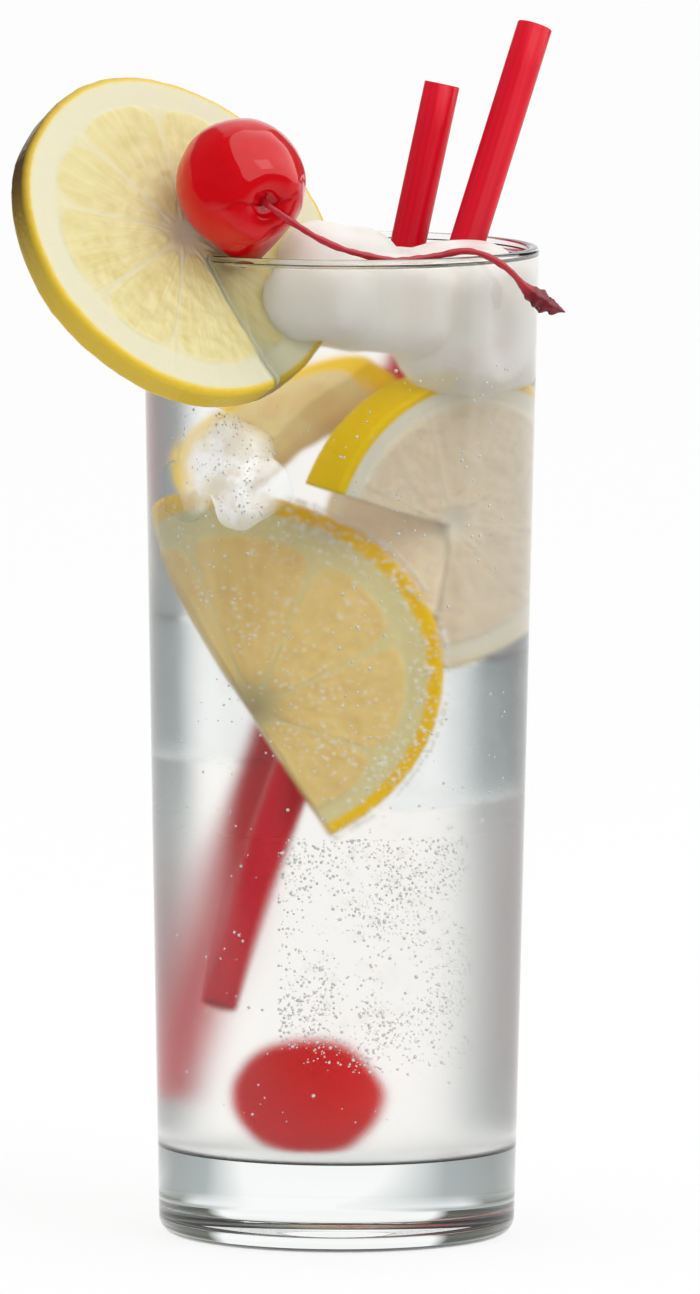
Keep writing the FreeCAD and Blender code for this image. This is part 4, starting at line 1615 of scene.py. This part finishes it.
def panels(add: Adder, way: Socket, stops: Stops, offset: float = 0.0) -> Node:
    """Colour the room round the drink: white panels front and back, grey between them.

    Args:
        add: Adds a node to the material or world.
        way: Direction, or place on the floor, seen from the drink.
        stops: Sideways angle from the front or back, with the colour there.
        offset: Metres by which the white panels are narrower on each side.

    Returns:
        Node whose first output is the colour.
    """
    parts = add("SeparateXYZ", {0: way}).outputs
    back = add("Math", {0: parts["Y"]}, {"operation": "ABSOLUTE"})
    side = add("Math", {0: parts["X"]}, {"operation": "SIGN"})
    wide = add("Math", {0: side, 1: offset, 2: parts["X"]}, {"operation": "MULTIPLY_ADD"})
    angle = add("Math", {0: wide, 1: back}, {"operation": "ARCTAN2"})
    quarter = math.pi / 2
    spread = add("MapRange", {"Value": angle, "From Min": -quarter, "From Max": quarter})
    painted = add("ValToRGB", {0: spread})
    ramp = painted.color_ramp
    while len(ramp.elements) > 1:
        ramp.elements.remove(ramp.elements[0])
    for index, (degrees, colour) in enumerate(stops):
        where = (degrees + 90) / 180
        stop = ramp.elements[0] if index == 0 else ramp.elements.new(where)
        stop.position, stop.color = where, linear(colour)
    return painted


# White melamine laminate: matt, takes the shadow. Through the glass it shows panels like
# the room's, and to mirrored rays it is darker in front, so that the wall has no sheen.
@dataclass(frozen=True)
class TableFinish(Finish):
    """White laminate of the table, sizes in mm from the middle of the drink."""

    name: str = "white_laminate_table"
    colour: str = "#F4F4F4"
    white: float = 0.8
    far_stops: Stops = ((-90, "#FFFFFF"), (-80, "#FFFFFF"), (-74, "#828A88"), (-45, "#666E6E"),
        (-28, "#8A9698"), (-17, "#FFFFFF"), (25, "#FFFFFF"), (34, "#8A9698"), (49, "#666E6E"),
        (74, "#828A88"), (80, "#FFFFFF"), (90, "#FFFFFF"))
    near_stops: Stops = ((-90, "#5C6154"), (-31, "#5C6154"), (-24, "#FFFFFF"), (28, "#FFFFFF"),
        (35, "#5C6154"), (90, "#5C6154"))
    far_offset: float = 20.0
    near_offset: float = 10.0
    near_reach: Pair = (45.0, 75.0)
    base_reach: float = 171.0
    pale_reach: Pair = (380.0, 950.0)
    paleness: float = 0.55
    base_paleness: float = 0.2
    dark_front: Pair = (-90.0, -260.0)
    front_shade: str = "#505252"

    def shade(self, add: Adder) -> Outputs:
        """Add the finish's nodes, as Finish.shade says."""
        rays = add("LightPath").outputs
        spot = add("TexCoord").outputs["Object"]
        reach = add("VectorMath", {0: spot}, {"operation": "LENGTH"}).outputs["Value"]
        start, end = self.pale_reach
        outer = add("MapRange", {"Value": reach, "From Min": start * MM, "From Max": end * MM,
                "To Min": self.paleness, "To Max": 0.0}, SMOOTH)
        pale = add("MapRange", {"Value": reach, "From Min": self.base_reach * MM,
                "From Max": start * MM, "To Min": self.base_paleness, "To Max": outer}, SMOOTH)
        far = panels(add, spot, self.far_stops, self.far_offset * MM)
        far = add("Mix", {"Factor": pale, 6: far, 7: WHITE}, COLOURS).outputs[2]
        near = panels(add, spot, self.near_stops, self.near_offset * MM)
        start, end = self.near_reach
        away = add("MapRange", {"Value": reach, "From Min": start * MM, "From Max": end * MM},
            SMOOTH)
        room = add("Mix", {"Factor": away, 6: near, 7: far}, COLOURS).outputs[2]
        shown = add("Mix", {"Factor": seen_through(add), 6: WHITE, 7: room}, COLOURS).outputs[2]
        depth = add("SeparateXYZ", {0: spot}).outputs["Y"]
        start, end = self.dark_front
        front = add("MapRange", {"Value": depth, "From Min": start * MM, "From Max": end * MM,
                "To Max": rays["Is Glossy Ray"]}, SMOOTH)
        dark = linear(self.front_shade)
        mirrored = add("Mix", {"Factor": front, 6: shown, 7: dark}, COLOURS).outputs[2]
        bent = add("Math", {0: rays["Is Glossy Ray"], 1: rays["Is Transmission Ray"]},
            {"operation": "MAXIMUM"})
        share = add("Math", {0: rays["Is Camera Ray"], 1: self.white, 2: bent},
            {"operation": "MULTIPLY_ADD"})
        lit = add("BsdfDiffuse", {"Color": linear(self.colour)})
        bright = add("Emission", {"Color": mirrored, "Strength": 1.0})
        return {"Surface": add("MixShader", {0: share, 1: lit, 2: bright})}


@dataclass(frozen=True)
class Studio:
    """Pale floor, soft light from all round and the camera, sizes in mm and degrees."""

    camera_at: Point = (1.67, -2974.0, 381.0)
    camera_pitch: float = 5.571
    camera_roll: float = 0.26
    lens: float = 539.7
    sensor: float = 36.0
    floor_half: float = 9000.0
    window_at: Point = (750.0, -750.0, 1050.0)
    window_aim: Point = (0.0, 0.0, 100.0)
    window_size: Pair = (700.0, 900.0)
    window_watts: float = 5.0
    sky_rise: Pair = (-0.2, 0.9)
    sky_glow: Pair = (0.72, 1.06)
    ceiling_rise: Pair = (0.3, 0.6)
    ceiling: str = "#F4F6F6"
    low_stops: Stops = ((-90, "#50544A"), (-70, "#50544A"), (-45, "#3C4034"), (-29, "#4A4E40"),
        (-24, "#FFFFFF"), (30, "#FFFFFF"), (36, "#4A4E40"), (49, "#3C4034"), (70, "#60645A"),
        (90, "#60645A"))
    sunk_light: float = 1.3
    room_glow: float = 0.14
    softbox_glow: float = 2.6
    softbox_way: Point = (0.72, -0.25, 0.65)
    softbox_edge: Pair = (0.5, 0.53)
    back_panel: Pair = (0.38, 0.26)
    back_from: float = 0.1

    def build(self) -> None:
        """Set the view, the camera, the light and the floor."""
        scene = bpy.context.scene
        scene.view_settings.view_transform = "Standard"
        self._camera(scene)
        self._floor()
        self._lamp()
        self._world(scene)

    def _camera(self, scene: bpy.types.Scene) -> None:
        """Put a camera with a long lens in front of the drink and a little above it.

        Args:
            scene: Scene that looks through it.
        """
        data = bpy.data.cameras.new("camera")
        data.sensor_fit = "VERTICAL"
        data.sensor_height = data.sensor_width = self.sensor
        data.lens = self.lens
        data.clip_start, data.clip_end = 0.1, 100.0
        camera = bpy.data.objects.new("camera", data)
        tilt = Matrix.Rotation(math.radians(90 - self.camera_pitch), 4, "X")
        roll = Matrix.Rotation(math.radians(self.camera_roll), 4, "Z")
        camera.matrix_world = Matrix.Translation(Vector(self.camera_at) * MM) @ tilt @ roll
        scene.collection.objects.link(camera)
        scene.camera = camera

    def _floor(self) -> None:
        """White table that keeps the shadow and goes out to the horizon."""
        half = self.floor_half * MM
        mesh = bpy.data.meshes.new("floor")
        corners = [(-half, -half, 0), (half, -half, 0), (half, half, 0), (-half, half, 0)]
        mesh.from_pydata(corners, [], [(0, 1, 2, 3)])
        in_scene("floor", mesh)
        mesh.materials.append(TableFinish().build())

    def _lamp(self) -> None:
        """One large soft window, high on the right and in front."""
        data = bpy.data.lights.new("window", "AREA")
        data.shape = "RECTANGLE"
        data.size, data.size_y = (side * MM for side in self.window_size)
        data.energy = self.window_watts
        lamp = in_scene("window", data)
        lamp.location = [c * MM for c in self.window_at]
        aim = Vector(self.window_aim) - Vector(self.window_at)
        lamp.rotation_euler = aim.to_track_quat("-Z", "Y").to_euler()

    def _world(self, scene: bpy.types.Scene) -> None:
        """Make the room: white seen directly, soft light, grey between panels in glass.

        Args:
            scene: Scene that it is round.
        """
        world = bpy.data.worlds.new("studio")
        world.use_nodes = True
        world.node_tree.nodes.clear()
        scene.world = world
        add = partial(add_node, world.node_tree)
        way = add("TexCoord").outputs["Generated"]
        parts = add("SeparateXYZ", {0: way}).outputs
        rays = add("LightPath").outputs
        (low, high), (dim, light) = self.sky_rise, self.sky_glow
        sky = add("MapRange", {"Value": parts["Z"], "From Min": low, "From Max": high,
                "To Min": dim, "To Max": light}, SMOOTH)
        low, high = self.ceiling_rise
        up = add("MapRange", {"Value": parts["Z"], "From Min": low, "From Max": high}, SMOOTH)
        room = add("Mix", {"Factor": up, 6: panels(add, way, self.low_stops),
                7: linear(self.ceiling)}, COLOURS)
        toward = add("VectorMath", {0: way, 1: tuple(unit(self.softbox_way))},
            {"operation": "DOT_PRODUCT"})
        outer, inner = self.softbox_edge
        softbox = add("MapRange", {"Value": toward.outputs["Value"], "From Min": outer,
                "From Max": inner, "To Min": self.room_glow, "To Max": self.softbox_glow}, SMOOTH)
        aside = add("Math", {0: parts["X"]}, {"operation": "ABSOLUTE"})
        ahead = add("Math", {0: parts["Y"], 1: self.back_from}, {"operation": "GREATER_THAN"})
        outer, inner = self.back_panel
        behind = add("MapRange", {"Value": aside, "From Min": outer, "From Max": inner,
                "To Max": ahead}, SMOOTH)
        mirrored = add("Math", {0: softbox, 1: behind}, {"operation": "MAXIMUM"})
        shader = add("Background", {"Color": WHITE, "Strength": sky})
        for ray, colour, strength in ((rays["Is Glossy Ray"], WHITE, mirrored),
            (rays["Is Transmission Ray"], WHITE, self.sunk_light),
            (seen_through(add), room.outputs[2], 1.0), (rays["Is Camera Ray"], WHITE, 1.0)):
            seen = add("Background", {"Color": colour, "Strength": strength})
            shader = add("MixShader", {0: ray, 1: shader, 2: seen})
        add("OutputWorld", {"Surface": shader})


# ---- main


def main() -> None:
    """Build every piece of the drink, then the studio."""
    logging.basicConfig(level=logging.INFO, format="%(name)s: %(message)s")
    tumbler = Tumbler()
    tumbler.build()
    Drink(tumbler).build()
    plastic = StrawFinish().build()
    for straw in (SHORT_STRAW, TALL_STRAW):
        straw.build(tumbler, plastic)
    LemonGarnish(tumbler).build()
    for cut, finish in ((HALF_SLICE, SOAKED_LEMON), (LEANING_SLICE, GOLDEN_LEMON),
        (STANDING_SLICE, BLEACHED_LEMON), (SMALL_SLICE, PAINTED_GLOW_LEMON)):
        place(cut.mesh(tumbler), finish.build())
    low, high = (np.array(corner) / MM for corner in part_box("cherry"))
    top_cherry = Cherry("cherry_garnish", centre=((low[0] + high[0]) / 2, (low[1] + high[1]) / 2,
            high[2] - Cherry.radius), nose_way=(0.095, 0.146, -0.985))
    place(top_cherry.mesh(), SYRUP_CHERRY.build(), ["cherry"])
    Stem(tumbler, top_cherry).build()
    sunk_cherry = Cherry("cherry_sunk", centre=(-4.0, -10.0, 22.9), nose_way=(0.5, 0.0, -0.86),
        nose_drop=0.3, nose_radius=6.0, squash=0.9, dimple_azimuth=20.0, dimple_elevation=30.0)
    place(sunk_cherry.mesh(), SUNK_CHERRY.build())
    PROUD_ICE.build(tumbler, CLOUDY_ICE.build())
    FROSTED_ICE_HEAP.build(tumbler, FROSTED_ICE.build())
    clear = SUNK_ICE.build()
    for block in DEEP_ICE:
        place(block.mesh(tumbler), clear)
    Fizz(tumbler).build()
    Studio().build()


if __name__ == "__main__":
    main()
